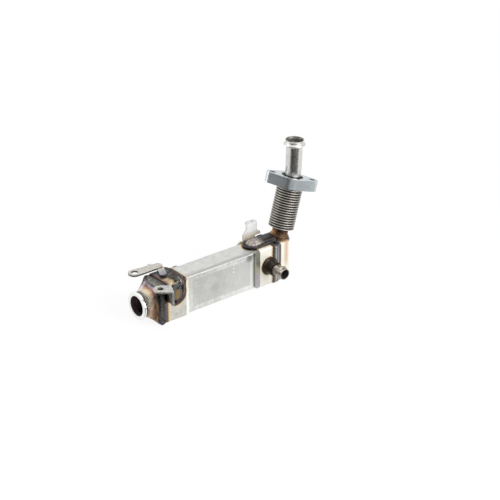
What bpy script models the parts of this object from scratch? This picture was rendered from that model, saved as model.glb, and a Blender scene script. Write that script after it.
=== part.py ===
"""Cooler for recirculated exhaust gas, welded from formed stainless sheet.

Gas enters at the round welding ring on the left, spreads through a cone into a flat-sided body,
runs through a stack of flat finned tubes, turns upwards in a half-round end tank and leaves
through a flexible bellows, a two-bolt flange and a short hose tube. Coolant flows round the
flat tubes, between two header plates, and has one nipple on each side.

X runs along the body from the gas inlet to the end tank, Y across it and Z up. Stations along X
are counted from the front edge of the inlet sleeve. All sizes are in metres and degrees.
"""
import math

import bmesh
import bpy
from mathutils import Matrix, Vector

# Clearances and sheet thicknesses
CLEARANCE = 0.0003
SLEEVE_SHEET = 0.0016
JACKET_SHEET = 0.0014
BRACKET_SHEET = 0.0026

# Flat-sided body
BODY_WIDTH = 0.041
BODY_HEIGHT = 0.061
BODY_EDGE_RADIUS = 0.0035
INLET_SLEEVE_LENGTH = 0.042
SLEEVE_TAPER_LENGTH = 0.005
TAPER_LIP = 0.0005
OUTLET_SLEEVE_START = 0.1748
END_TANK_START = 0.2050
JACKET_SETBACK = 0.010
PANEL_START = 0.053
PANEL_END = 0.160
PANEL_EDGE_MARGIN = 0.006
PANEL_DEPTH = 0.0007
PANEL_BORDER = 0.0024
PANEL_CORNER_RADIUS = 0.005

# Bars welded upright on both sides of the jacket
SIDE_BAR_WIDTH = 0.0098
SIDE_BAR_THICKNESS = 0.0034
SIDE_BAR_BOTTOM = 0.0016
SIDE_BAR_RISE = 0.0010

# Gas inlet
INLET_CENTRE_RISE = 0.0008
INLET_CONE_LENGTH = 0.0205
INLET_NECK_RADIUS = 0.0164
INLET_BORE_RADIUS = 0.0143
INLET_RING_RADIUS = 0.0205
INLET_RING_THICKNESS = 0.0078
INLET_RING_RIM = 0.0030
INLET_RING_CHAMFER = 0.0008
NECK_WELD_HEIGHT = 0.0016
NECK_WELD_WIDTH = 0.0050

# Weld beads round the flat-sided body
SEAM_HEIGHT = 0.0014
INLET_SEAM_BEHIND = 0.0050
INLET_SEAM_AHEAD = 0.0040
OUTLET_SEAM_WIDTH = 0.0100

# Saddle plate that carries two brackets on the inlet sleeve
SADDLE_SHEET = 0.0015
SADDLE_START = 0.0085
SADDLE_STATION = 0.0243
SADDLE_LOBE_DROP = 0.0190
SADDLE_RADIUS = 0.0100
SADDLE_LEFT_RADIUS = 0.0040
SADDLE_WELD_TURN = 100.0
SADDLE_WELD_WIDTH = 0.0072
SADDLE_WELD_HEIGHT = 0.0026

# Core
TUBE_COUNT = 7
TUBE_SIDE_GAP = 0.0027
TUBE_END_GAP = 0.0033
TUBE_GAP = 0.0026
TUBE_WALL = 0.0005
TUBE_PROUD = 0.0015
HEADER_THICKNESS = 0.0015
HEADER_SETBACK = 0.0040
FIN_SHEET = 0.0003
FIN_WAVES = 8
FIN_END_MARGIN = 0.004

# End tank with a domed hood that reaches back over the outlet sleeve
END_TANK_STRAIGHT = 0.0158
TANK_SHEET = 0.0018
HOOD_START = 0.1680
HOOD_END = 0.2375
HOOD_WIDTH = 0.0200
HOOD_SIDE_SHIFT = 0.0020
HOOD_HEIGHT = 0.0056
HOOD_CORNER_RADIUS = 0.0097
HOOD_ROUNDING = 0.0055
HOOD_STEPS = 4
HOOD_WELD_WIDTH = 0.0038
HOOD_WELD_HEIGHT = 0.0022
HOOD_WELD_TOE = 0.0004

# Outlet stub, bellows, two-bolt flange and hose tube, along an axis that leans towards +X
OUTLET_LEAN = 15.4
OUTLET_STATION = 0.2268
STUB_RADIUS = 0.0106
STUB_WALL = 0.0014
STUB_START = -0.0020
STUB_END = 0.0170
STUB_BORE_DEPTH = 0.0060
STUB_WELD_WIDTH = 0.0036
STUB_WELD_COLLAR = 0.0010
STUB_WELD_HEIGHT = 0.0040
STUB_WELD_TOE = 0.0011
BELLOWS_START = 0.0132
BELLOWS_RADIUS = 0.0193
BELLOWS_ROOT_RADIUS = 0.0160
BELLOWS_PITCH = 0.00370
BELLOWS_COUNT = 17
BELLOWS_CREST_SHARE = 0.22
BELLOWS_SHEET = 0.0005
BELLOWS_CUFF_LENGTH = 0.0012
BELLOWS_CUFF_WALL = 0.0009
FLANGE_THICKNESS = 0.0160
FLANGE_TURN = -40.0
FLANGE_HOLE_SPACING = 0.0580
FLANGE_HOLE_RADIUS = 0.0045
FLANGE_LOBE_RADIUS = 0.0090
FLANGE_HUB_RADIUS = 0.0225
FLANGE_RECESS_RADIUS = 0.0160
FLANGE_RECESS_DEPTH = 0.0045
HOSE_TUBE_RADIUS = 0.0120
HOSE_TUBE_WALL = 0.0013
HOSE_TUBE_LEAN = 2.0
HOSE_TUBE_START = -0.0060
HOSE_BEND_START = 0.0160
HOSE_BEND_LENGTH = 0.0120
HOSE_TUBE_END = 0.0720
HOSE_BEAD_RADIUS = 0.0160
HOSE_BEAD_DEPTH = 0.0066
HOSE_BEAD_WIDTH = 0.0050
HOSE_BEAD_SHOULDER_SHARE = 0.75
HOSE_END_RISE = 0.0010
HOSE_RIM_RADIUS = 0.0141
HOSE_RIM_LENGTH = 0.0030

# Coolant nipples
NIPPLE_RADIUS = 0.0084
NIPPLE_WALL = 0.0014
NIPPLE_LENGTH = 0.0350
NIPPLE_BEAD_RADIUS = 0.0103
NIPPLE_BEAD_SETBACK = 0.0072
NIPPLE_BEAD_WIDTH = 0.0040
BOSS_RADIUS = 0.0107
BOSS_LENGTH = 0.0155
BOSS_FLARE_RADIUS = 0.0134
BOSS_FLARE_LENGTH = 0.0034
NIPPLE_STATION_FRONT = 0.1920
NIPPLE_STATION_REAR = 0.0750
NIPPLE_RISE = 0.0005

# Eye bracket that hangs out over the rear corner of the inlet sleeve
EYE_HOLE_RADIUS = 0.0050
EYE_RADIUS = 0.0093
EYE_STATION = -0.0113
EYE_ACROSS = 0.0273
EYE_HEIGHT = 0.0018
STRAP_END_RADIUS = 0.0068
STRAP_END_STATION = 0.0262
STRAP_END_ACROSS = 0.0248
STRAP_NUB_RADIUS = 0.0028
STRAP_NUB_STATION = 0.0180
STRAP_NUB_ACROSS = 0.0337
FOOT_RADIUS = 0.0050
FOOT_STATION = 0.0192
FOOT_ACROSS = 0.0020
FOOT_ROOT_STATION = 0.0270
FOOT_ROOT_ACROSS = 0.0200

# Nut bracket on the front of the inlet sleeve
TAB_HOLE_RADIUS = 0.0046
TAB_RADIUS = 0.0100
TAB_STATION = -0.0083
TAB_ACROSS = -0.0295
TAB_HEIGHT = 0.0004
LEG_DIRECTION = 65.0
LEG_STATION = 0.0115
LEG_LENGTH = 0.0290
LEG_TAB_LENGTH = 0.0205
LEG_DROP = 0.0210
LEG_FOOT_DROP = 0.0300
NUT_WIDTH = 0.0130
NUT_THICKNESS = 0.0042
NUT_BORE_RADIUS = 0.0034

# Post bracket on the rear side, behind the hood
POST_SHEET = 0.0022
POST_LEFT = 0.1830
POST_WIDTH = 0.0195
POST_FOOT_LEAD = 0.0065
POST_FOOT_SETBACK = 0.0033
POST_EAR_REACH = 0.0060
POST_FOOT_DROP = 0.0170
POST_SHOULDER_RISE = 0.0155
POST_EAR_RISE = 0.0074
POST_RISE = 0.0235
POST_TAB_INSET = 0.0020
POST_TAB_LENGTH = 0.0090
POST_CORNER_RADIUS = 0.0030
POST_HOLE_RADIUS = 0.0033
POST_HOLE_ACROSS = 0.0049

# How finely round forms are divided
CORNER_STEPS = 4
SIDE_STEPS = 3
ROUND_STEPS = 32
BELLOWS_STEPS = 24
SMALL_ROUND_STEPS = 20

# Values that follow from the sizes above
MID_HEIGHT = BODY_HEIGHT / 2
INLET_CENTRE_HEIGHT = MID_HEIGHT + INLET_CENTRE_RISE
NIPPLE_HEIGHT = MID_HEIGHT + NIPPLE_RISE
JACKET_WIDTH = BODY_WIDTH - 2 * (SLEEVE_SHEET + CLEARANCE)
JACKET_HEIGHT = BODY_HEIGHT - 2 * (SLEEVE_SHEET + CLEARANCE)
JACKET_EDGE_RADIUS = BODY_EDGE_RADIUS - SLEEVE_SHEET
TUBE_WIDTH = JACKET_WIDTH - 2 * (JACKET_SHEET + TUBE_SIDE_GAP)
STACK_HEIGHT = JACKET_HEIGHT - 2 * (JACKET_SHEET + TUBE_END_GAP)
TUBE_PITCH = (STACK_HEIGHT + TUBE_GAP) / TUBE_COUNT
TUBE_DEPTH = TUBE_PITCH - TUBE_GAP
JACKET_END = END_TANK_START - SLEEVE_SHEET
JOINT_STATION = END_TANK_START - CLEARANCE
TANK_CENTRE = END_TANK_START + END_TANK_STRAIGHT
HOOD_BASE = BODY_HEIGHT + CLEARANCE
SADDLE_TOP = BODY_HEIGHT + CLEARANCE + SADDLE_SHEET
POST_RIGHT = POST_LEFT + POST_WIDTH
POST_FOOT_LEFT = POST_LEFT - POST_FOOT_LEAD
POST_FOOT_RIGHT = POST_RIGHT - POST_FOOT_SETBACK
POST_EAR_RIGHT = POST_RIGHT + POST_EAR_REACH
POST_FOOT_BOTTOM = BODY_HEIGHT - POST_FOOT_DROP
POST_SHOULDER = BODY_HEIGHT + POST_SHOULDER_RISE
POST_EAR_TOP = BODY_HEIGHT + POST_EAR_RISE
POST_TOP = BODY_HEIGHT + POST_RISE
POST_TAB_LEFT = POST_LEFT + POST_TAB_INSET
LEAN_AXIS = Vector((math.sin(math.radians(OUTLET_LEAN)), 0, math.cos(math.radians(OUTLET_LEAN))))
OUTLET_FOOT = Vector((OUTLET_STATION, 0, BODY_HEIGHT))
BELLOWS_END = BELLOWS_START + BELLOWS_COUNT * BELLOWS_PITCH
FLANGE_START = BELLOWS_END + BELLOWS_CUFF_LENGTH / 2
FLANGE_END = FLANGE_START + FLANGE_THICKNESS


def remove_existing_objects():
    """Start from an empty scene without closing the file."""
    for item in list(bpy.data.objects):
        bpy.data.objects.remove(item, do_unlink=True)


def make_material(name, colour, roughness, metallic):
    """A Principled BSDF material with the piece's colour and shine."""
    material = bpy.data.materials.new(name)
    material.use_nodes = True
    shader = material.node_tree.nodes["Principled BSDF"]
    shader.inputs["Base Color"].default_value = (*colour, 1.0)
    shader.inputs["Roughness"].default_value = roughness
    shader.inputs["Metallic"].default_value = metallic
    return material


def add_object(name, mesh, material=None, collection=None):
    """Put a mesh in the scene, under the cooler's own empty, smooth where it is round."""
    item = bpy.data.objects.new(name, mesh)
    (collection or parts).objects.link(item)
    item.parent = origin
    mesh.shade_smooth()
    mesh.set_sharp_from_angle(angle=math.radians(35))
    if material is not None:
        mesh.materials.append(material)
    return item


def solid_from_rings(name, rings, looped=True):
    """Join rings of matching points into one closed skin, either end to start or with end caps."""
    mesh = bpy.data.meshes.new(name)
    shape = bmesh.new()
    loops = [[shape.verts.new(point) for point in ring] for ring in rings]
    count = len(loops[0])
    pairs = list(zip(loops, loops[1:] + loops[:1])) if looped else list(zip(loops, loops[1:]))
    for first, second in pairs:
        for index in range(count):
            after = (index + 1) % count
            shape.faces.new((first[index], first[after], second[after], second[index]))
    if not looped:
        shape.faces.new(loops[0])
        shape.faces.new(list(reversed(loops[-1])))
    bmesh.ops.recalc_face_normals(shape, faces=shape.faces)
    shape.to_mesh(mesh)
    shape.free()
    return mesh


def rounded_rectangle(width, height, radius):
    """Points round a rectangle with round corners, from the top of its right side."""
    points = []
    corners = ((1, 1), (-1, 1), (-1, -1), (1, -1))
    for turn, (side, level) in enumerate(corners):
        centre = Vector((side * (width / 2 - radius), level * (height / 2 - radius)))
        for step in range(CORNER_STEPS + 1):
            angle = math.radians(90 * (turn + step / CORNER_STEPS))
            points.append(centre + radius * Vector((math.cos(angle), math.sin(angle))))
        following = corners[(turn + 1) % 4]
        target = Vector((following[0] * (width / 2 - radius), following[1] * (height / 2 - radius)))
        start_angle = math.radians(90 * (turn + 1))
        target += radius * Vector((math.cos(start_angle), math.sin(start_angle)))
        start = points[-1].copy()
        for step in range(1, SIDE_STEPS + 1):
            points.append(start.lerp(target, step / (SIDE_STEPS + 1)))
    return points


def matching_circle(radius):
    """A circle whose points pair with those of a rounded rectangle."""
    per_quarter = CORNER_STEPS + 1 + SIDE_STEPS
    first = (SIDE_STEPS + 1) / 2
    angles = [math.radians(90 * (first + index) / per_quarter) for index in range(4 * per_quarter)]
    return [radius * Vector((math.cos(angle), math.sin(angle))) for angle in angles]


def at_station(station, section, height=MID_HEIGHT):
    """Stand a flat section across the body."""
    return [Vector((station, point.x, height + point.y)) for point in section]


def body_section(grow=0.0):
    """The body's outline, grown outwards by a distance."""
    return rounded_rectangle(BODY_WIDTH + 2 * grow, BODY_HEIGHT + 2 * grow, BODY_EDGE_RADIUS + grow)


def front_section(station, grow=0.0):
    """The outline of the sleeve, or in front of it of the cone, which ends round."""
    share = min(max(-station / INLET_CONE_LENGTH, 0.0), 1.0)
    rectangle = body_section(grow)
    neck = matching_circle(INLET_NECK_RADIUS + grow)
    height = MID_HEIGHT + share * (INLET_CENTRE_HEIGHT - MID_HEIGHT)
    return at_station(station, [a.lerp(b, share) for a, b in zip(rectangle, neck)], height)


def jacket_section(grow=0.0):
    """The water jacket's outline, grown outwards by a distance."""
    return rounded_rectangle(JACKET_WIDTH + 2 * grow, JACKET_HEIGHT + 2 * grow, JACKET_EDGE_RADIUS + grow)


def arc(centre, radius, start, end, steps):
    """Points along an arc, with its angles in degrees."""
    turns = [math.radians(start + (end - start) * step / steps) for step in range(steps + 1)]
    return [Vector(centre) + radius * Vector((math.cos(turn), math.sin(turn))) for turn in turns]


def circle(centre, radius, steps=SMALL_ROUND_STEPS):
    """Points round a full circle."""
    return arc(centre, radius, 0, 360, steps)[:-1]


def hull(points):
    """The outline that a string would take round a set of flat points."""
    ordered = sorted({(round(point[0], 7), round(point[1], 7)) for point in points})

    def half(sequence):
        chain = []
        for point in sequence:
            while len(chain) > 1:
                before, last = chain[-2], chain[-1]
                turn = (last[0] - before[0]) * (point[1] - last[1])
                turn -= (last[1] - before[1]) * (point[0] - last[0])
                if turn > 0:
                    break
                chain.pop()
            chain.append(point)
        return chain[:-1]

    return [Vector(point) for point in half(ordered) + half(ordered[::-1])]


def plate_mesh(name, outline, thickness, holes=()):
    """A flat plate in the XY plane with its mid plane at zero, cut from an outline with holes."""
    curve = bpy.data.curves.new(name, "CURVE")
    curve.dimensions = "2D"
    curve.fill_mode = "BOTH"
    curve.extrude = thickness / 2
    for loop in (outline, *holes):
        spline = curve.splines.new("POLY")
        spline.points.add(len(loop) - 1)
        for point, place in zip(spline.points, loop):
            point.co = (place[0], place[1], 0, 1)
        spline.use_cyclic_u = True
    guide = bpy.data.objects.new(name, curve)
    parts.objects.link(guide)
    mesh = bpy.data.meshes.new_from_object(guide.evaluated_get(bpy.context.evaluated_depsgraph_get()))
    bpy.data.objects.remove(guide, do_unlink=True)
    bpy.data.curves.remove(curve)
    shape = bmesh.new()
    shape.from_mesh(mesh)
    bmesh.ops.remove_doubles(shape, verts=shape.verts, dist=0.000001)
    bmesh.ops.dissolve_degenerate(shape, dist=0.000001, edges=shape.edges)
    bmesh.ops.dissolve_limit(shape, angle_limit=math.radians(1), verts=shape.verts, edges=shape.edges)
    bmesh.ops.recalc_face_normals(shape, faces=shape.faces)
    shape.to_mesh(mesh)
    shape.free()
    return mesh


def turned(name, profile, material, place, axis, steps=ROUND_STEPS):
    """Turn a closed profile of radius and height about an axis through a place."""
    mesh = bpy.data.meshes.new(name)
    count = len(profile)
    edges = [(index, (index + 1) % count) for index in range(count)]
    mesh.from_pydata([(radius, 0, height) for radius, height in profile], edges, [])
    item = add_object(name, mesh, material)
    item.location = place
    item.rotation_euler = axis.to_track_quat("Z", "Y").to_euler()
    screw = item.modifiers.new("Turn", "SCREW")
    screw.axis = "Z"
    screw.angle = math.radians(360)
    screw.steps = steps
    screw.render_steps = steps
    screw.use_merge_vertices = True
    screw.merge_threshold = 0.00001
    screw.use_smooth_shade = True
    return item


def add_cutter(name, mesh, matrix=None):
    """A guide body that shapes another piece and isn't part of the cooler."""
    item = add_object(name, mesh, None, cutters)
    item.matrix_local = matrix or Matrix.Identity(4)
    item.hide_render = True
    item.display_type = "WIRE"
    return item


def shape_by(item, cutter, operation):
    """Cut, join or trim a piece with a guide body."""
    modifier = item.modifiers.new(cutter.name, "BOOLEAN")
    modifier.object = cutter
    modifier.operation = operation
    modifier.solver = "EXACT"


def round_cutter(name, radius, length, place, axis, steps=SMALL_ROUND_STEPS):
    """A cylinder that bores a hole, centred on a place."""
    mesh = bpy.data.meshes.new(name)
    shape = bmesh.new()
    bmesh.ops.create_cone(shape, cap_ends=True, segments=steps, radius1=radius, radius2=radius, depth=length)
    shape.to_mesh(mesh)
    shape.free()
    turn = axis.to_track_quat("Z", "Y").to_matrix().to_4x4()
    return add_cutter(name, mesh, Matrix.Translation(place) @ turn)


def box_cutter(name, low, high):
    """A block between two corners."""
    mesh = bpy.data.meshes.new(name)
    shape = bmesh.new()
    bmesh.ops.create_cube(shape, size=1.0)
    size = Vector(high) - Vector(low)
    bmesh.ops.scale(shape, vec=size, verts=shape.verts)
    bmesh.ops.translate(shape, vec=(Vector(low) + Vector(high)) / 2, verts=shape.verts)
    shape.to_mesh(mesh)
    shape.free()
    return add_cutter(name, mesh)


def upright_matrix(across):
    """Turn a flat outline so that its X and Y lie along the body and upwards."""
    return Matrix(((1, 0, 0, 0), (0, 0, -1, across), (0, 1, 0, 0), (0, 0, 0, 1)))


def along_outlet(distance):
    """A point on the leaning outlet axis, counted from the top of the body."""
    return OUTLET_FOOT + distance * LEAN_AXIS


def hood_rings(grow=0.0, base=HOOD_BASE):
    """Outlines of the domed hood from its foot to its crown, grown outwards by a distance."""
    rings = []
    middle = (HOOD_START + HOOD_END) / 2
    for step in range(-1, HOOD_STEPS + 1):
        angle = math.radians(90 * max(step, 0) / HOOD_STEPS)
        inset = HOOD_ROUNDING * (1 - math.cos(angle)) - grow
        height = base if step < 0 else HOOD_BASE + (HOOD_HEIGHT + grow) * math.sin(angle)
        length = HOOD_END - HOOD_START - 2 * inset
        outline = rounded_rectangle(length, HOOD_WIDTH - 2 * inset, HOOD_CORNER_RADIUS - inset)
        rings.append([Vector((middle + point.x, HOOD_SIDE_SHIFT + point.y, height)) for point in outline])
    return rings


def tank_outline(inset=0.0):
    """Plan of the end tank, straight and then half round, running back past its joint."""
    radius = BODY_WIDTH / 2 - inset
    back = END_TANK_START - 2 * BODY_EDGE_RADIUS - inset
    half_round = arc((TANK_CENTRE, 0), radius, -90, 90, ROUND_STEPS // 2)
    return [Vector((back, -radius)), *half_round, Vector((back, radius))]


def tank_solid(name, inset=0.0):
    """The end tank's rounded block, shrunk by a distance on every side."""
    radius = BODY_EDGE_RADIUS - inset
    levels = []
    for step in range(CORNER_STEPS + 1):
        turn = math.radians(90 * step / CORNER_STEPS)
        levels.append((inset + radius * (1 - math.sin(turn)), inset + radius * (1 - math.cos(turn))))
    levels += [(shrink, BODY_HEIGHT - height) for shrink, height in reversed(levels)]
    rings = [[Vector((p.x, p.y, height)) for p in tank_outline(shrink)] for shrink, height in levels]
    return solid_from_rings(name, rings, looped=False)


def across_matrix(station):
    """Turn a flat outline so that its X and Y lie across the body and upwards."""
    return Matrix(((0, 0, 1, station), (1, 0, 0, 0), (0, 1, 0, MID_HEIGHT), (0, 0, 0, 1)))


def stadium(width, depth, centre=(0, 0)):
    """A flat tube's outline, round at both ends."""
    reach = (width - depth) / 2
    right = arc((centre[0] + reach, centre[1]), depth / 2, -90, 90, 5)
    left = arc((centre[0] - reach, centre[1]), depth / 2, 90, 270, 5)
    return right + left


def wrapped_sheet(name, inner, outer, start, end, material):
    """A layer between two matching outlines, wrapped round the body between two stations."""
    places = ((start, outer), (end, outer), (end, inner), (start, inner))
    rings = [at_station(station, outline) for station, outline in places]
    return add_object(name, solid_from_rings(name, rings), material)


def side_prism(name, outline):
    """A prism right across the body, from an outline in station and height."""
    mesh = plate_mesh(name, outline, BODY_WIDTH * 2)
    return add_cutter(name, mesh, upright_matrix(0))


def round_off(item, width, segments=1, angle=50):
    """Round the sharp edges of a piece."""
    bevel = item.modifiers.new("Round edges", "BEVEL")
    bevel.width = width
    bevel.segments = segments
    bevel.limit_method = "ANGLE"
    bevel.angle_limit = math.radians(angle)


def lean_matrix(distance, turn=0.0):
    """A frame on the leaning outlet axis, turned about it."""
    lean = Matrix.Rotation(math.radians(OUTLET_LEAN), 4, "Y")
    return Matrix.Translation(along_outlet(distance)) @ lean @ Matrix.Rotation(math.radians(turn), 4, "Z")


remove_existing_objects()
parts = bpy.data.collections.new("egr_cooler")
cutters = bpy.data.collections.new("egr_cooler_cutters")
bpy.context.scene.collection.children.link(parts)
bpy.context.scene.collection.children.link(cutters)
origin = bpy.data.objects.new("egr_cooler_origin", None)
parts.objects.link(origin)

stainless = make_material("stainless_sheet", (0.78, 0.77, 0.74), 0.35, 1.0)
bright_steel = make_material("bright_steel", (0.86, 0.85, 0.82), 0.25, 1.0)
tinted_steel = make_material("heat_tinted_steel", (0.30, 0.26, 0.25), 0.35, 1.0)
weld_metal = make_material("weld_metal", (0.12, 0.11, 0.11), 0.45, 1.0)
bracket_steel = make_material("bracket_steel", (0.74, 0.74, 0.72), 0.45, 1.0)
cast_aluminium = make_material("cast_aluminium", (0.42, 0.45, 0.47), 0.55, 0.8)
core_steel = make_material("core_steel", (0.45, 0.43, 0.40), 0.40, 1.0)

# Gas inlet: welding ring, neck weld and cone
ring_foot = Vector((-INLET_CONE_LENGTH - CLEARANCE, 0, INLET_CENTRE_HEIGHT))
ring_taper = (INLET_RING_RADIUS - INLET_NECK_RADIUS) / (INLET_RING_THICKNESS - INLET_RING_RIM)
turned("inlet_welding_ring", [
    (INLET_RING_RADIUS - INLET_RING_CHAMFER, INLET_RING_THICKNESS),
    (INLET_RING_RADIUS, INLET_RING_THICKNESS - INLET_RING_CHAMFER),
    (INLET_RING_RADIUS, INLET_RING_THICKNESS - INLET_RING_RIM),
    (INLET_NECK_RADIUS, 0),
    (INLET_BORE_RADIUS, 0),
    (INLET_BORE_RADIUS, INLET_RING_THICKNESS - INLET_RING_CHAMFER),
    (INLET_BORE_RADIUS + INLET_RING_CHAMFER, INLET_RING_THICKNESS),
], bright_steel, ring_foot, Vector((-1, 0, 0)))

cone_stations = [-CLEARANCE - step / 4 * (INLET_CONE_LENGTH - CLEARANCE) for step in range(5)]
cone_rings = [front_section(station) for station in cone_stations]
cone_rings += [front_section(station, -SLEEVE_SHEET) for station in reversed(cone_stations)]
add_object("inlet_cone", solid_from_rings("inlet_cone", cone_rings), tinted_steel)

weld_tail = NECK_WELD_HEIGHT / 4
weld_reach = NECK_WELD_WIDTH / 2
ring_side_radius = INLET_NECK_RADIUS + ring_taper * (weld_reach - CLEARANCE) + 2 * CLEARANCE
ring_side = -INLET_CONE_LENGTH - weld_reach
neck_rings = [
    front_section(-INLET_CONE_LENGTH + weld_reach, CLEARANCE + weld_tail),
    front_section(-INLET_CONE_LENGTH, CLEARANCE + NECK_WELD_HEIGHT),
    at_station(ring_side, matching_circle(ring_side_radius + weld_tail), INLET_CENTRE_HEIGHT),
    at_station(ring_side, matching_circle(ring_side_radius), INLET_CENTRE_HEIGHT),
    front_section(-INLET_CONE_LENGTH, CLEARANCE),
    front_section(-INLET_CONE_LENGTH + weld_reach, CLEARANCE),
]
add_object("inlet_neck_weld", solid_from_rings("inlet_neck_weld", neck_rings), weld_metal)

# Inlet sleeve, tapered down onto the jacket at its rear end
jacket_fit = jacket_section(CLEARANCE)
taper_end = INLET_SLEEVE_LENGTH + SLEEVE_TAPER_LENGTH
sleeve_rings = [
    at_station(0, body_section()),
    at_station(INLET_SLEEVE_LENGTH, body_section()),
    at_station(taper_end, jacket_section(CLEARANCE + TAPER_LIP)),
    at_station(taper_end, jacket_fit),
    at_station(0, jacket_fit),
]
add_object("inlet_sleeve", solid_from_rings("inlet_sleeve", sleeve_rings), tinted_steel)

# Seam bead over the corner between cone and sleeve
seam_edge = CLEARANCE + (SEAM_HEIGHT - CLEARANCE) / 4
seam_rings = [
    front_section(-INLET_SEAM_AHEAD, seam_edge),
    front_section(-INLET_SEAM_AHEAD / 2, (seam_edge + SEAM_HEIGHT) / 2),
    front_section(0, SEAM_HEIGHT),
    front_section(INLET_SEAM_BEHIND / 2, SEAM_HEIGHT),
    front_section(INLET_SEAM_BEHIND, seam_edge),
    front_section(INLET_SEAM_BEHIND, CLEARANCE),
    front_section(0, CLEARANCE),
    front_section(-INLET_SEAM_AHEAD, CLEARANCE),
]
add_object("inlet_seam_weld", solid_from_rings("inlet_seam_weld", seam_rings), weld_metal)

# Water jacket with a shallow pressed panel on each side
jacket_bore = jacket_section(-JACKET_SHEET)
jacket = wrapped_sheet("jacket", jacket_bore, jacket_section(), JACKET_SETBACK, JACKET_END, stainless)
panel_middle = (PANEL_START + PANEL_END) / 2
for side, label in ((-1, "front"), (1, "rear")):
    panel_rings = []
    for level in (-1, 1):
        spread = 2 * PANEL_BORDER * level
        outline = rounded_rectangle(
            PANEL_END - PANEL_START + spread,
            JACKET_HEIGHT - 2 * PANEL_EDGE_MARGIN + spread,
            PANEL_CORNER_RADIUS + spread / 2)
        depth = side * (JACKET_WIDTH / 2 + level * PANEL_DEPTH)
        panel_rings.append([Vector((panel_middle + p.x, depth, MID_HEIGHT + p.y)) for p in outline])
    panel = add_cutter("panel_" + label, solid_from_rings("panel_" + label, panel_rings, looped=False))
    shape_by(jacket, panel, "DIFFERENCE")

# Outlet sleeve
outlet_sleeve = wrapped_sheet(
    "outlet_sleeve", jacket_fit, body_section(), OUTLET_SLEEVE_START, JOINT_STATION, stainless)

# Upright bars on both sides of the jacket, against the edge of the outlet sleeve
bar_ends = (SIDE_BAR_BOTTOM + SIDE_BAR_WIDTH / 2, BODY_HEIGHT + SIDE_BAR_RISE - SIDE_BAR_WIDTH / 2)
bar_outline = hull([point for end in bar_ends for point in circle((0, end), SIDE_BAR_WIDTH / 2)])
bar_station = OUTLET_SLEEVE_START - CLEARANCE - SIDE_BAR_WIDTH / 2
for side, label in ((-1, "front"), (1, "rear")):
    bar_mesh = plate_mesh("side_bar_" + label, bar_outline, SIDE_BAR_THICKNESS)
    bar = add_object("side_bar_" + label, bar_mesh, tinted_steel)
    bar_place = side * (JACKET_WIDTH / 2 + CLEARANCE + SIDE_BAR_THICKNESS / 2)
    bar.matrix_local = Matrix.Translation((bar_station, 0, 0)) @ upright_matrix(bar_place)
    round_off(bar, SIDE_BAR_THICKNESS / 3)

# Saddle plate on the inlet sleeve and the bead that welds it down
lobe_height = BODY_HEIGHT - SADDLE_LOBE_DROP
lobe_centre = (SADDLE_STATION, lobe_height)
prism_top = BODY_HEIGHT + 2 * SADDLE_WELD_HEIGHT
saddle = wrapped_sheet(
    "saddle_plate", body_section(CLEARANCE), body_section(CLEARANCE + SADDLE_SHEET),
    SADDLE_START - SADDLE_RADIUS, SADDLE_STATION + 2 * SADDLE_RADIUS, tinted_steel)
saddle_low = lobe_height - SADDLE_RADIUS
left_centre = (SADDLE_START + SADDLE_LEFT_RADIUS, saddle_low + SADDLE_LEFT_RADIUS)
saddle_outline = [
    Vector((SADDLE_START, prism_top)),
    *arc(left_centre, SADDLE_LEFT_RADIUS, 180, 270, 4),
    *arc(lobe_centre, SADDLE_RADIUS, 270, 360, 8),
    Vector((SADDLE_STATION + SADDLE_RADIUS, prism_top)),
]
shape_by(saddle, side_prism("saddle_shape", saddle_outline), "INTERSECT")

bead_inner = SADDLE_RADIUS + CLEARANCE
bead_outer = bead_inner + SADDLE_WELD_WIDTH
bead = wrapped_sheet(
    "saddle_weld", body_section(CLEARANCE), body_section(CLEARANCE + SADDLE_WELD_HEIGHT),
    SADDLE_STATION - 2 * bead_outer, SADDLE_STATION + 2 * bead_outer, weld_metal)
bead_outline = [
    Vector((SADDLE_STATION + bead_outer, prism_top)),
    *arc(lobe_centre, bead_outer, 0, -SADDLE_WELD_TURN, 14),
    *arc(lobe_centre, bead_inner, -SADDLE_WELD_TURN, 0, 14),
    Vector((SADDLE_STATION + bead_inner, prism_top)),
]
shape_by(bead, side_prism("saddle_weld_shape", bead_outline), "INTERSECT")
round_off(bead, SADDLE_WELD_HEIGHT / 3)

# Core: header plates, flat gas tubes and the folded fins inside them
tube_heights = [(index - (TUBE_COUNT - 1) / 2) * TUBE_PITCH for index in range(TUBE_COUNT)]
slot_size = (TUBE_WIDTH + 2 * CLEARANCE, TUBE_DEPTH + 2 * CLEARANCE)
header_slots = [stadium(*slot_size, (0, height)) for height in tube_heights]
header_outline = jacket_section(-JACKET_SHEET - CLEARANCE)
header_stations = (JACKET_SETBACK + HEADER_SETBACK, JACKET_END - HEADER_SETBACK)
for station, label in zip(header_stations, ("inlet", "outlet")):
    name = "header_plate_" + label
    header = add_object(name, plate_mesh(name, header_outline, HEADER_THICKNESS, header_slots), core_steel)
    header.matrix_local = across_matrix(station)
tube_reach = HEADER_THICKNESS / 2 + TUBE_PROUD
tube_length = header_stations[1] - header_stations[0] + 2 * tube_reach
tube_middle = (header_stations[0] + header_stations[1]) / 2
tube_bore = stadium(TUBE_WIDTH - 2 * TUBE_WALL, TUBE_DEPTH - 2 * TUBE_WALL)
fin_reach = (TUBE_WIDTH - TUBE_DEPTH) / 2
fin_rise = TUBE_DEPTH / 2 - TUBE_WALL - CLEARANCE
fin_slope = 2 * FIN_WAVES * fin_rise / fin_reach
fin_step = FIN_SHEET * math.sqrt(1 + fin_slope ** 2)
fin_top = []
for index in range(2 * FIN_WAVES + 1):
    crest = fin_rise if index % 2 == 0 else fin_step - fin_rise
    fin_top.append(Vector((fin_reach * (index / FIN_WAVES - 1), crest)))
fin_low = [Vector((point.x, point.y - fin_step)) for point in fin_top]
fin_outline = fin_top + fin_low[::-1]
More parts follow.
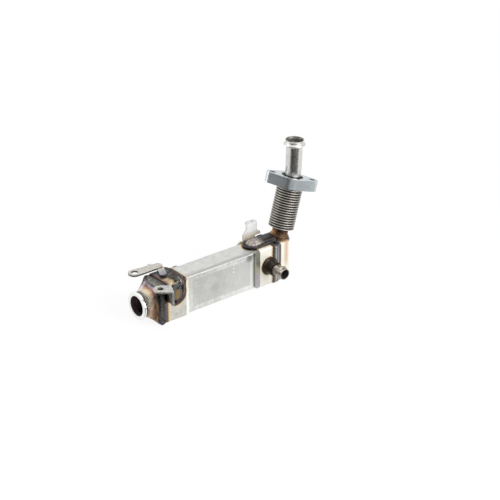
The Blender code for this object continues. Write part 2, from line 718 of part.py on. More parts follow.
for index, height in enumerate(tube_heights, start=1):
    name = "gas_tube_%d" % index
    tube_mesh = plate_mesh(name, stadium(TUBE_WIDTH, TUBE_DEPTH), tube_length, [tube_bore])
    tube = add_object(name, tube_mesh, core_steel)
    tube.matrix_local = Matrix.Translation((0, 0, height)) @ across_matrix(tube_middle)
    name = "gas_fin_%d" % index
    fin = add_object(name, plate_mesh(name, fin_outline, tube_length - 2 * FIN_END_MARGIN), core_steel)
    fin.matrix_local = Matrix.Translation((0, 0, height)) @ across_matrix(tube_middle)

# End tank with its domed hood, one pressed piece
tank = add_object("end_tank", tank_solid("end_tank"), stainless)
hood_low = BODY_HEIGHT - TANK_SHEET / 2
hood = add_cutter("hood_solid", solid_from_rings("hood_solid", hood_rings(0, hood_low), looped=False))
shape_by(tank, hood, "UNION")
shape_by(tank, add_cutter("tank_hollow", tank_solid("tank_hollow", TANK_SHEET)), "DIFFERENCE")
hollow_low = BODY_HEIGHT - 2 * TANK_SHEET
hood_hollow = solid_from_rings("hood_hollow", hood_rings(-TANK_SHEET, hollow_low), looped=False)
shape_by(tank, add_cutter("hood_hollow", hood_hollow), "DIFFERENCE")
room_corner = (HOOD_START - BODY_WIDTH, -BODY_WIDTH, -BODY_HEIGHT)
sleeve_room = box_cutter("sleeve_room", room_corner, (END_TANK_START, BODY_WIDTH, HOOD_BASE))
shape_by(tank, sleeve_room, "DIFFERENCE")
bore_place = along_outlet(BODY_WIDTH / 2 - STUB_BORE_DEPTH)
stub_bore = round_cutter("stub_bore", STUB_RADIUS + CLEARANCE, BODY_WIDTH, bore_place, LEAN_AXIS, ROUND_STEPS)
shape_by(tank, stub_bore, "DIFFERENCE")

# Seam bead: up both sides at the tank's joint and round the foot of the hood
seam_start = END_TANK_START - OUTLET_SEAM_WIDTH / 2
seam_end = END_TANK_START + OUTLET_SEAM_WIDTH / 2
outlet_seam_rings = [
    at_station(seam_start, body_section(seam_edge)),
    at_station(seam_start + OUTLET_SEAM_WIDTH / 4, body_section(SEAM_HEIGHT)),
    at_station(seam_end - OUTLET_SEAM_WIDTH / 4, body_section(SEAM_HEIGHT)),
    at_station(seam_end, body_section(seam_edge)),
    at_station(seam_end, body_section(CLEARANCE)),
    at_station(seam_start, body_section(CLEARANCE)),
]
outlet_seam_mesh = solid_from_rings("outlet_seam_weld", outlet_seam_rings)
outlet_seam = add_object("outlet_seam_weld", outlet_seam_mesh, weld_metal)
hood_bead_profile = (
    (HOOD_WELD_WIDTH, 0),
    (HOOD_WELD_WIDTH - HOOD_WELD_TOE, HOOD_WELD_HEIGHT / 2),
    (HOOD_WELD_WIDTH / 2, HOOD_WELD_HEIGHT),
    (CLEARANCE, HOOD_WELD_HEIGHT),
    (CLEARANCE, 0),
)
hood_bead_rings = [
    [Vector((p.x, p.y, HOOD_BASE + rise)) for p in hood_rings(spread)[1]]
    for spread, rise in hood_bead_profile
]
hood_bead = add_cutter("hood_bead", solid_from_rings("hood_bead", hood_bead_rings))
bead_end = box_cutter(
    "bead_end", (seam_end, -BODY_WIDTH, MID_HEIGHT), (HOOD_END + BODY_WIDTH, BODY_WIDTH, BODY_HEIGHT * 2))
shape_by(hood_bead, bead_end, "DIFFERENCE")
hood_room_mesh = solid_from_rings("hood_room", hood_rings(CLEARANCE, MID_HEIGHT), looped=False)
hood_room = add_cutter("hood_room", hood_room_mesh)
shape_by(outlet_seam, hood_bead, "UNION")
shape_by(outlet_seam, hood_room, "DIFFERENCE")
boss_place = Vector((NIPPLE_STATION_FRONT, -BODY_WIDTH / 2, NIPPLE_HEIGHT))
boss_room = round_cutter(
    "boss_room", BOSS_FLARE_RADIUS + CLEARANCE, BODY_WIDTH / 2, boss_place, Vector((0, -1, 0)), ROUND_STEPS)
shape_by(outlet_seam, boss_room, "DIFFERENCE")

# Outlet stub and the bead round its foot
turned("outlet_stub", [
    (STUB_RADIUS, STUB_END),
    (STUB_RADIUS, STUB_START),
    (STUB_RADIUS - STUB_WALL, STUB_START),
    (STUB_RADIUS - STUB_WALL, STUB_END),
], tinted_steel, along_outlet(0), LEAN_AXIS)
stub_bead_top = BELLOWS_START - BELLOWS_CUFF_LENGTH - CLEARANCE
stub_bead_inner = STUB_RADIUS + CLEARANCE
stub_bead = turned("stub_weld", [
    (stub_bead_inner + STUB_WELD_COLLAR / 2, stub_bead_top),
    (stub_bead_inner + STUB_WELD_COLLAR, stub_bead_top - STUB_WELD_COLLAR),
    (stub_bead_inner + STUB_WELD_COLLAR, STUB_WELD_HEIGHT + STUB_WELD_COLLAR),
    (stub_bead_inner + STUB_WELD_WIDTH - STUB_WELD_TOE, STUB_WELD_HEIGHT),
    (stub_bead_inner + STUB_WELD_WIDTH, STUB_WELD_HEIGHT / 2),
    (stub_bead_inner + STUB_WELD_WIDTH, -STUB_WELD_HEIGHT),
    (stub_bead_inner, -STUB_WELD_HEIGHT),
    (stub_bead_inner, stub_bead_top),
], weld_metal, along_outlet(0), LEAN_AXIS)
shape_by(stub_bead, hood_room, "DIFFERENCE")
shape_by(stub_bead, add_cutter("tank_room", tank_solid("tank_room", -CLEARANCE)), "DIFFERENCE")

# Bellows, a thin folded wall whose ends fit over the stub and over the hose tube
lower_cuff = STUB_RADIUS + CLEARANCE
upper_cuff = HOSE_TUBE_RADIUS + CLEARANCE
flank = BELLOWS_PITCH * (1 - BELLOWS_CREST_SHARE) / 2
wall_shift = BELLOWS_SHEET * math.sqrt(1 + ((BELLOWS_RADIUS - BELLOWS_ROOT_RADIUS) / flank) ** 2)
folds = [(BELLOWS_ROOT_RADIUS, BELLOWS_END)]
for index in reversed(range(BELLOWS_COUNT)):
    fold = BELLOWS_START + index * BELLOWS_PITCH
    folds.append((BELLOWS_RADIUS, fold + BELLOWS_PITCH - flank))
    folds.append((BELLOWS_RADIUS, fold + flank))
    folds.append((BELLOWS_ROOT_RADIUS, fold))
inner_folds = [(radius - wall_shift, height) for radius, height in reversed(folds)]
bellows_profile = [
    (upper_cuff + BELLOWS_CUFF_WALL, BELLOWS_END + BELLOWS_CUFF_LENGTH / 2 - CLEARANCE),
    (upper_cuff + BELLOWS_CUFF_WALL, BELLOWS_END + BELLOWS_SHEET / 2),
    *folds,
    (lower_cuff + BELLOWS_CUFF_WALL, BELLOWS_START - BELLOWS_SHEET / 2),
    (lower_cuff + BELLOWS_CUFF_WALL, BELLOWS_START - BELLOWS_CUFF_LENGTH),
    (lower_cuff, BELLOWS_START - BELLOWS_CUFF_LENGTH),
    (lower_cuff, BELLOWS_START + BELLOWS_SHEET),
    *inner_folds,
    (upper_cuff, BELLOWS_END - BELLOWS_SHEET),
    (upper_cuff, BELLOWS_END + BELLOWS_CUFF_LENGTH / 2 - CLEARANCE),
]
turned("bellows", bellows_profile, stainless, along_outlet(0), LEAN_AXIS, BELLOWS_STEPS)

# Two-bolt flange with a recess round the hose tube
hole_reach = FLANGE_HOLE_SPACING / 2
flange_outline = hull(
    circle((0, 0), FLANGE_HUB_RADIUS, ROUND_STEPS)
    + circle((hole_reach, 0), FLANGE_LOBE_RADIUS, ROUND_STEPS)
    + circle((-hole_reach, 0), FLANGE_LOBE_RADIUS, ROUND_STEPS))
flange_holes = [circle((place, 0), FLANGE_HOLE_RADIUS) for place in (-hole_reach, hole_reach)]
flange_holes.append(circle((0, 0), HOSE_TUBE_RADIUS + CLEARANCE, ROUND_STEPS))
flange_mesh = plate_mesh("outlet_flange", flange_outline, FLANGE_THICKNESS, flange_holes)
flange = add_object("outlet_flange", flange_mesh, cast_aluminium)
flange.matrix_local = lean_matrix((FLANGE_START + FLANGE_END) / 2, FLANGE_TURN)
recess_depth = 2 * FLANGE_RECESS_DEPTH
recess = round_cutter(
    "flange_recess", FLANGE_RECESS_RADIUS, recess_depth, along_outlet(FLANGE_END), LEAN_AXIS, ROUND_STEPS)
shape_by(flange, recess, "DIFFERENCE")


def hose_frame(distance):
    """Centre and two cross directions of the hose tube at a distance from the flange's foot."""
    bend = math.radians(OUTLET_LEAN - HOSE_TUBE_LEAN)
    turned_part = min(max((distance - HOSE_BEND_START) / HOSE_BEND_LENGTH, 0.0), 1.0)
    lean = math.radians(OUTLET_LEAN) - bend * turned_part
    place = along_outlet(FLANGE_START + min(distance, HOSE_BEND_START))
    if distance > HOSE_BEND_START:
        radius = HOSE_BEND_LENGTH / bend
        first = math.radians(OUTLET_LEAN)
        place.x += radius * (math.cos(lean) - math.cos(first))
        place.z += radius * (math.sin(first) - math.sin(lean))
        beyond = max(distance - HOSE_BEND_START - HOSE_BEND_LENGTH, 0.0)
        place += beyond * Vector((math.sin(lean), 0, math.cos(lean)))
    return place, Vector((math.cos(lean), 0, -math.sin(lean))), Vector((0, 1, 0))


def hose_ring(distance, radius):
    """A ring of the hose tube."""
    place, first, second = hose_frame(distance)
    turns = [math.radians(360 * step / BELLOWS_STEPS) for step in range(BELLOWS_STEPS)]
    return [place + radius * (math.cos(turn) * first + math.sin(turn) * second) for turn in turns]


# Hose tube: straight through the flange, a slight bend, then a bead and a flared rim
bead_middle = HOSE_TUBE_END - HOSE_BEAD_DEPTH
bead_half = HOSE_BEAD_WIDTH / 2
bead_rise = HOSE_BEAD_RADIUS - HOSE_TUBE_RADIUS
bend_stations = [HOSE_BEND_START + HOSE_BEND_LENGTH * step / 3 for step in range(4)]
hose_outer = [(HOSE_TUBE_START, HOSE_TUBE_RADIUS)]
hose_outer += [(station, HOSE_TUBE_RADIUS) for station in bend_stations]
hose_outer += [
    (bead_middle - bead_half, HOSE_TUBE_RADIUS),
    (bead_middle - bead_half / 2, HOSE_TUBE_RADIUS + HOSE_BEAD_SHOULDER_SHARE * bead_rise),
    (bead_middle, HOSE_BEAD_RADIUS),
    (bead_middle + bead_half / 2, HOSE_TUBE_RADIUS + HOSE_BEAD_SHOULDER_SHARE * bead_rise),
    (bead_middle + bead_half, HOSE_TUBE_RADIUS + HOSE_END_RISE),
    (HOSE_TUBE_END - HOSE_RIM_LENGTH, HOSE_TUBE_RADIUS + HOSE_END_RISE),
    (HOSE_TUBE_END, HOSE_RIM_RADIUS),
]
hose_inner = [
    (HOSE_TUBE_END, HOSE_RIM_RADIUS - HOSE_TUBE_WALL),
    (HOSE_TUBE_END - HOSE_RIM_LENGTH, HOSE_TUBE_RADIUS + HOSE_END_RISE - HOSE_TUBE_WALL),
    (bead_middle - bead_half, HOSE_TUBE_RADIUS - HOSE_TUBE_WALL),
]
hose_inner += [(station, HOSE_TUBE_RADIUS - HOSE_TUBE_WALL) for station in reversed(bend_stations)]
hose_inner.append((HOSE_TUBE_START, HOSE_TUBE_RADIUS - HOSE_TUBE_WALL))
hose_rings = [hose_ring(distance, radius) for distance, radius in hose_outer + hose_inner]
add_object("outlet_tube", solid_from_rings("outlet_tube", hose_rings), bright_steel)

# Coolant nipples in their bosses, one on each side
nipple_bore = NIPPLE_RADIUS - NIPPLE_WALL
jacket_wall = JACKET_WIDTH / 2 - JACKET_SHEET
nipple_seats = (
    ("front", -1, NIPPLE_STATION_FRONT, BODY_WIDTH / 2 + CLEARANCE),
    ("rear", 1, NIPPLE_STATION_REAR, JACKET_WIDTH / 2 - PANEL_DEPTH + CLEARANCE),
)
for label, side, station, seat in nipple_seats:
    place = Vector((station, side * seat, NIPPLE_HEIGHT))
    outwards = Vector((0, side, 0))
    turned("coolant_boss_" + label, [
        (BOSS_RADIUS - SLEEVE_SHEET / 2, BOSS_LENGTH),
        (BOSS_RADIUS, BOSS_LENGTH - SLEEVE_SHEET / 2),
        (BOSS_RADIUS, BOSS_FLARE_LENGTH),
        (BOSS_FLARE_RADIUS, BOSS_FLARE_LENGTH / 3),
        (BOSS_FLARE_RADIUS, 0),
        (NIPPLE_RADIUS + CLEARANCE, 0),
        (NIPPLE_RADIUS + CLEARANCE, BOSS_LENGTH),
    ], tinted_steel, place, outwards, BELLOWS_STEPS)
    nipple_bead = NIPPLE_LENGTH - NIPPLE_BEAD_SETBACK
    nipple_half = NIPPLE_BEAD_WIDTH / 2
    nipple_foot = jacket_wall - seat
    turned("coolant_nipple_" + label, [
        (NIPPLE_RADIUS, NIPPLE_LENGTH),
        (NIPPLE_RADIUS, nipple_bead + nipple_half),
        (NIPPLE_BEAD_RADIUS, nipple_bead + nipple_half / 3),
        (NIPPLE_BEAD_RADIUS, nipple_bead - nipple_half / 3),
        (NIPPLE_RADIUS, nipple_bead - nipple_half),
        (NIPPLE_RADIUS, nipple_foot),
        (nipple_bore, nipple_foot),
        (nipple_bore, NIPPLE_LENGTH),
    ], bright_steel, place, outwards, BELLOWS_STEPS)
    hole = round_cutter(
        "nipple_hole_" + label, NIPPLE_RADIUS + CLEARANCE, BODY_WIDTH / 2, place, outwards, BELLOWS_STEPS)
    shape_by(jacket, hole, "DIFFERENCE")
    if label == "front":
        shape_by(outlet_sleeve, hole, "DIFFERENCE")

# Eye bracket: a strap with an eye, a small nub and a tongue set down onto the saddle plate
strap_low = SADDLE_TOP + EYE_HEIGHT
strap_middle = Matrix.Translation((0, 0, strap_low + BRACKET_SHEET / 2))
eye_circle = circle((EYE_STATION, EYE_ACROSS), EYE_RADIUS, ROUND_STEPS)
strap_end = circle((STRAP_END_STATION, STRAP_END_ACROSS), STRAP_END_RADIUS)
eye_hole = circle((EYE_STATION, EYE_ACROSS), EYE_HOLE_RADIUS)
strap_mesh = plate_mesh("eye_bracket", hull(eye_circle + strap_end), BRACKET_SHEET, [eye_hole])
eye_bracket = add_object("eye_bracket", strap_mesh, bracket_steel)
eye_bracket.matrix_local = strap_middle
tongue_root = circle((FOOT_ROOT_STATION, FOOT_ROOT_ACROSS), FOOT_RADIUS)
tongue = hull(tongue_root + circle((FOOT_STATION, FOOT_ACROSS), FOOT_RADIUS))
tongue_place = Matrix.Translation((0, 0, SADDLE_TOP + CLEARANCE + BRACKET_SHEET / 2))
tongue_solid = add_cutter("strap_tongue", plate_mesh("strap_tongue", tongue, BRACKET_SHEET), tongue_place)
shape_by(eye_bracket, tongue_solid, "UNION")
nub_root = circle((STRAP_NUB_STATION + STRAP_NUB_RADIUS / 2, STRAP_END_ACROSS), STRAP_NUB_RADIUS)
nub = hull(circle((STRAP_NUB_STATION, STRAP_NUB_ACROSS), STRAP_NUB_RADIUS) + nub_root)
nub_solid = add_cutter("strap_nub", plate_mesh("strap_nub", nub, BRACKET_SHEET), strap_middle)
shape_by(eye_bracket, nub_solid, "UNION")

# Nut bracket: an upright leg on the sleeve's side and a tab bent over its top, with a nut below
leg_out = Vector((-math.cos(math.radians(LEG_DIRECTION)), -math.sin(math.radians(LEG_DIRECTION)), 0))
leg_seat = Vector((LEG_STATION, -(BODY_WIDTH / 2 + SADDLE_SHEET + 2 * CLEARANCE), 0))
tab_low = BODY_HEIGHT + TAB_HEIGHT
tab_top = tab_low + BRACKET_SHEET
leg_start = BRACKET_SHEET / 2 / math.tan(math.radians(LEG_DIRECTION))
leg_outline = [
    Vector((leg_start, tab_top - BRACKET_SHEET)),
    Vector((LEG_LENGTH - LEG_TAB_LENGTH, tab_top)),
    Vector((LEG_LENGTH, tab_top)),
    Vector((LEG_LENGTH, tab_top - LEG_DROP)),
    Vector((leg_start, tab_top - LEG_FOOT_DROP)),
]
leg_side = leg_out.cross(Vector((0, 0, 1)))
leg_turn = Matrix((
    (leg_out.x, 0, leg_side.x, leg_seat.x),
    (leg_out.y, 0, leg_side.y, leg_seat.y),
    (0, 1, 0, 0),
    (0, 0, 0, 1),
))
nut_bracket = add_object("nut_bracket", plate_mesh("nut_bracket", leg_outline, BRACKET_SHEET), bracket_steel)
nut_bracket.matrix_local = leg_turn
bend_far = leg_seat + (LEG_LENGTH - LEG_TAB_LENGTH) * leg_out
bend_near = leg_seat + LEG_LENGTH * leg_out
tab_circle = circle((TAB_STATION, TAB_ACROSS), TAB_RADIUS, ROUND_STEPS)
tab_outline = hull(tab_circle + [bend_far.xy, bend_near.xy])
tab_hole = circle((TAB_STATION, TAB_ACROSS), TAB_HOLE_RADIUS)
tab_mesh = plate_mesh("tab", tab_outline, BRACKET_SHEET, [tab_hole])
tab = add_cutter("tab", tab_mesh, Matrix.Translation((0, 0, tab_low + BRACKET_SHEET / 2)))
shape_by(nut_bracket, tab, "UNION")
hexagon = circle((0, 0), NUT_WIDTH / math.sqrt(3), 6)
nut_mesh = plate_mesh("bracket_nut", hexagon, NUT_THICKNESS, [circle((0, 0), NUT_BORE_RADIUS)])
nut = add_object("bracket_nut", nut_mesh, weld_metal)
nut.location = (TAB_STATION, TAB_ACROSS, tab_low - CLEARANCE - NUT_THICKNESS / 2)

# Post bracket on the rear side: an upright plate with an ear and a top bent outwards
post_face = BODY_WIDTH / 2 + CLEARANCE
post_clear = BODY_HEIGHT + SEAM_HEIGHT + CLEARANCE
ear_centre = (POST_EAR_RIGHT - POST_CORNER_RADIUS, POST_EAR_TOP - POST_CORNER_RADIUS)
post_outline = [
    Vector((POST_FOOT_LEFT, POST_FOOT_BOTTOM)),
    Vector((POST_FOOT_RIGHT, POST_FOOT_BOTTOM)),
    Vector((POST_FOOT_RIGHT, post_clear)),
    Vector((POST_EAR_RIGHT, post_clear)),
    *arc(ear_centre, POST_CORNER_RADIUS, 0, 90, 3),
    Vector((POST_RIGHT, POST_EAR_TOP + POST_CORNER_RADIUS / 2)),
    Vector((POST_RIGHT, POST_TOP)),
    Vector((POST_LEFT, POST_TOP)),
    Vector((POST_LEFT, POST_SHOULDER)),
    Vector((POST_FOOT_LEFT, POST_EAR_TOP)),
]
post = add_object("post_bracket", plate_mesh("post_bracket", post_outline, POST_SHEET), bracket_steel)
post.matrix_local = upright_matrix(post_face + POST_SHEET / 2)
post_middle = (POST_TAB_LEFT + POST_RIGHT) / 2
post_reach = post_face + POST_TAB_LENGTH
corner_reach = post_reach - POST_CORNER_RADIUS
post_end = [
    Vector((POST_RIGHT, post_face)),
    *arc((POST_RIGHT - POST_CORNER_RADIUS, corner_reach), POST_CORNER_RADIUS, 0, 90, 3),
    *arc((POST_TAB_LEFT + POST_CORNER_RADIUS, corner_reach), POST_CORNER_RADIUS, 90, 180, 3),
    Vector((POST_TAB_LEFT, post_face)),
]
post_hole = circle((post_middle, post_face + POST_HOLE_ACROSS), POST_HOLE_RADIUS)
post_tab = add_cutter("post_tab", plate_mesh("post_tab", post_end, POST_SHEET, [post_hole]))
post_tab.matrix_local = Matrix.Translation((0, 0, POST_TOP - POST_SHEET / 2))
shape_by(post, post_tab, "UNION")


def stand_on_origin():
    """Move the whole cooler so that its box is centred over the origin and stands on height zero."""
    bpy.context.view_layer.update()
    graph = bpy.context.evaluated_depsgraph_get()
    points = []
    for item in parts.objects:
        if item.type == "MESH":
            evaluated = item.evaluated_get(graph)
            points += [evaluated.matrix_world @ vertex.co for vertex in evaluated.data.vertices]
    low = [min(point[axis] for point in points) for axis in range(3)]
    high = [max(point[axis] for point in points) for axis in range(3)]
    origin.location = (-(low[0] + high[0]) / 2, -(low[1] + high[1]) / 2, -low[2])
    bpy.context.view_layer.update()


stand_on_origin()
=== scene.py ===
# %% [markdown]
# # Dressing a welded exhaust gas cooler
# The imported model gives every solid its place. This lesson dresses it: smooth turned and formed
# skins, rippled weld beads, and steel that shows the colours that welding heat leaves behind.
# Each code cell makes one kind of piece or finish, and prints what it made.

import math

import bpy
import numpy as np
from mathutils import Matrix, Vector


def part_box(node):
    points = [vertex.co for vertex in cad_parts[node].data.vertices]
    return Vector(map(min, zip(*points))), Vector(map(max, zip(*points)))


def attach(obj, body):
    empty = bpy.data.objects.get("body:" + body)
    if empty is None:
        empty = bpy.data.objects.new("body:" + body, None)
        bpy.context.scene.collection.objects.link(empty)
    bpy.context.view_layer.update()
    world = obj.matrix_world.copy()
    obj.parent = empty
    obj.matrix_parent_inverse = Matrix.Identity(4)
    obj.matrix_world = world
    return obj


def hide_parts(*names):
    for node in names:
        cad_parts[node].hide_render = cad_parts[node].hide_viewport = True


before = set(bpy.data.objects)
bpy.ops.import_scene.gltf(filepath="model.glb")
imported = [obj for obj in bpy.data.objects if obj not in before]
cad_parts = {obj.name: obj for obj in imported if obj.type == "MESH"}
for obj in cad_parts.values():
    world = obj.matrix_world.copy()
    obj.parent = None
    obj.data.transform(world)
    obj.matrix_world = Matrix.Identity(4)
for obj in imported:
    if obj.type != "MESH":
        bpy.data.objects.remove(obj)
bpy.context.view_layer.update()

# %% [markdown]
# The body has a natural frame of its own: stations along it from the front edge of the inlet
# sleeve, distances across it from its middle plane, and heights above its underside. All pieces
# are worked out in that frame, and one offset, read from the sleeve's own box, moves them into
# place. Writing the sizes in a frame that follows the object keeps every formula short.

# %% The body's frame and its main sizes
sleeve_low, sleeve_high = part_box("inlet_sleeve")
BASE = np.array([sleeve_low.x, (sleeve_low.y + sleeve_high.y) / 2, sleeve_low.z])
MM = 0.001
GAP = 0.3 * MM
WIDTH = sleeve_high.y - sleeve_low.y
HEIGHT = sleeve_high.z - sleeve_low.z
SHEET = 1.6 * MM
EDGE_RADIUS = 3.5 * MM
JACKET_INSET = SHEET + GAP
NECK_STATION = -20.5 * MM
NECK_RADIUS = 16.4 * MM
INLET_HEIGHT = 31.3 * MM
SEAM_STATION = 204.7 * MM
LOBE = np.array([24.3, 42.0]) * MM
LEAN = math.radians(15.4)
OUTLET_FOOT = np.array([226.8 * MM, 0.0, HEIGHT])
OUTLET_AXIS = np.array([math.sin(LEAN), 0.0, math.cos(LEAN)])
BOSS_FRONT = np.array([192.0, 31.0]) * MM
BOSS_REAR = np.array([75.0, 31.0]) * MM
print("body section in mm:", round(WIDTH / MM, 1), "x", round(HEIGHT / MM, 1))

# %% [markdown]
# Nearly every skin here is a grid of places that closes on itself both ways: round a profile and
# round the body. A closed grid has no rim, so it can't leak. Its faces are turned outwards by one
# test: the volume that a closed skin holds comes out negative when its faces point inwards.


# %% From a grid of places to a piece
def grid_faces(rows, columns, closed=True):
    """Quads between neighbours of a grid that closes round its columns, and round its rows if closed."""
    last = rows if closed else rows - 1
    row, column = np.meshgrid(np.arange(last), np.arange(columns), indexing="ij")
    above, beside = (row + 1) % rows, (column + 1) % columns
    corners = (row * columns + column, row * columns + beside, above * columns + beside, above * columns + column)
    return np.stack(corners, -1).reshape(-1, 4)


def held_volume(points, quads):
    """Six times the volume of a skin: the sum of the box products of the corners of its triangles."""
    a, b, c, d = (points[quads[:, k]] for k in range(4))
    return (np.cross(a, b) * c).sum() + (np.cross(a, c) * d).sum()


def add_piece(name, grid, finish, nodes, closed=True, marks=None, flatten=True):
    """Put a grid of places (rows, columns, 3) in the scene as one closed skin that stands for CAD nodes."""
    rows, columns = grid.shape[:2]
    points = grid.reshape(-1, 3)
    quads = grid_faces(rows, columns, closed)
    middle = points.mean(0)
    inwards = held_volume(points - middle, quads) < 0
    faces = (quads[:, ::-1] if inwards else quads).tolist()
    if not closed:
        first = np.arange(columns)[::-1]
        last = np.arange(columns) + (rows - 1) * columns
        faces += [(first[::-1] if inwards else first).tolist(), (last[::-1] if inwards else last).tolist()]
    mesh = bpy.data.meshes.new(name)
    mesh.from_pydata((points + BASE).tolist(), [], faces)
    for label, values in (marks or {}).items():
        mesh.attributes.new(label, "FLOAT", "POINT").data.foreach_set("value", values.ravel().astype(np.float32))
    return dress(name, mesh, finish, nodes, flatten)


def dress(name, mesh, finish, nodes, flatten=True):
    """Give a mesh smooth faces and its finish, hang it on its body, and hide the CAD nodes that it takes the place of.
    """
    mesh.shade_smooth()
    mesh.set_sharp_from_angle(angle=math.radians(38))
    mesh.materials.append(finish)
    piece = bpy.data.objects.new(name, mesh)
    bpy.context.scene.collection.objects.link(piece)
    if flatten:
        even = piece.modifiers.new("Even light on flats", "WEIGHTED_NORMAL")
        even.keep_sharp = True
    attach(piece, "root")
    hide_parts(*nodes)
    print(name, "faces:", len(mesh.polygons))
    return piece


# %% [markdown]
# A turned part is a profile of radius and height carried round an axis. Real turned and rolled
# edges are never knife sharp, so each corner of a profile is first cut back and bridged by a short
# curve (the quadratic curve whose middle handle is the old corner).


# %% Turned profiles
def soften(profile, cut=0.4 * MM, steps=4):
    """Replace each corner of a closed profile by the curve (1-t)^2 a + 2t(1-t) p + t^2 b between its cut points."""
    here = np.asarray(profile, float)
    before, after = np.roll(here, 1, 0), np.roll(here, -1, 0)

    def towards(other):
        way = other - here
        length = np.linalg.norm(way, axis=1, keepdims=True)
        return here + way * np.minimum(cut / length, 0.45)

    t = np.linspace(0, 1, steps + 1)[None, :, None]
    a, b, p = towards(before)[:, None], towards(after)[:, None], here[:, None]
    return ((1 - t) ** 2 * a + 2 * t * (1 - t) * p + t ** 2 * b).reshape(-1, 2)


def turn_profile(profile, foot, axis, columns=96):
    """Carry (radius, height) round an axis: foot + height*axis + radius*(cos*side + sin*third)."""
    axis = np.asarray(axis, float)
    side = np.cross(axis, (0.0, 1.0, 0.0)) if abs(axis[1]) < 0.9 else np.array([1.0, 0.0, 0.0])
    side = side / np.linalg.norm(side)
    third = np.cross(axis, side)
    turn = np.linspace(0, 2 * np.pi, columns, endpoint=False)[None, :, None]
    radius, height = profile[:, 0][:, None, None], profile[:, 1][:, None, None]
    return foot + height * axis + radius * (np.cos(turn) * side + np.sin(turn) * third)


def along_outlet(distance):
    """A place on the leaning outlet axis, counted from the top of the body."""
    return OUTLET_FOOT + distance * OUTLET_AXIS


# %% [markdown]
# The body's outline is a rectangle with round corners. It comes with the outward direction at each
# place, so that a skin can be grown from it by any distance, and that is how sheets, gaps and weld
# beads of any height are made from one function. The cone blends that outline into a circle.


# %% Outlines of the body and the cone
CORNER_PARTS = 7
SIDE_PARTS = 17


def outline(width, height, radius):
    """Places and outward directions round a rectangle with round corners, as two arrays."""
    angle = np.radians(90 * (np.arange(4)[:, None] + np.linspace(0, 1, CORNER_PARTS + 1)))
    middle = np.array([[1, 1], [-1, 1], [-1, -1], [1, -1]]) * (width / 2 - radius, height / 2 - radius)
    out = np.stack([np.cos(angle), np.sin(angle)], -1)
    bend = middle[:, None] + radius * out
    t = (np.arange(1, SIDE_PARTS + 1) / (SIDE_PARTS + 1))[None, :, None]
    straight = bend[:, -1:] * (1 - t) + np.roll(bend, -1, 0)[:, :1] * t
    out_straight = np.broadcast_to(out[:, -1:], straight.shape)
    places = np.concatenate([bend, straight], 1).reshape(-1, 2)
    return places, np.concatenate([out, out_straight], 1).reshape(-1, 2)


BODY_PLACES, BODY_OUT = outline(WIDTH, HEIGHT, EDGE_RADIUS)
PER_QUARTER = CORNER_PARTS + 1 + SIDE_PARTS
CIRCLE_TURN = np.radians(90 * ((SIDE_PARTS + 1) / 2 + np.arange(4 * PER_QUARTER)) / PER_QUARTER)
CIRCLE_OUT = np.stack([np.cos(CIRCLE_TURN), np.sin(CIRCLE_TURN)], -1)


def front_skin(station, grow):
    """The body's outline at x >= 0, and in front of it a blend p = (1-s)*rectangle + s*circle, s = -x/length,
    grown by a distance along the blended outward direction. Station and grow broadcast to (rows, columns)."""
    station, grow = np.broadcast_arrays(np.asarray(station, float), np.asarray(grow, float))
    s = np.clip(station / NECK_STATION, 0, 1)[..., None]
    out = (1 - s) * BODY_OUT + s * CIRCLE_OUT
    out = out / np.linalg.norm(out, axis=-1, keepdims=True)
    flat = (1 - s) * BODY_PLACES + s * NECK_RADIUS * CIRCLE_OUT + grow[..., None] * out
    height = HEIGHT / 2 + s[..., 0] * (INLET_HEIGHT - HEIGHT / 2)
    return np.stack([station, flat[..., 0], height + flat[..., 1]], -1)


# %% [markdown]
# Each finish is a small node tree. The helper below only saves typing: it adds a node, feeds a
# socket with a number or with another socket, and gives the common ones (noise, ramp, blend) a
# short name. Tones are written as 0 to 255 screen values and turned into the linear light that
# the shader works in.


# %% A short way to write node trees
def tone(red, green, blue):
    """Linear light from screen values: v/12.92 in the toe, else ((v+0.055)/1.055)^2.4."""
    v = np.array([red, green, blue]) / 255
    linear = np.where(v <= 0.04045, v / 12.92, ((v + 0.055) / 1.055) ** 2.4)
    return (*linear.tolist(), 1.0)


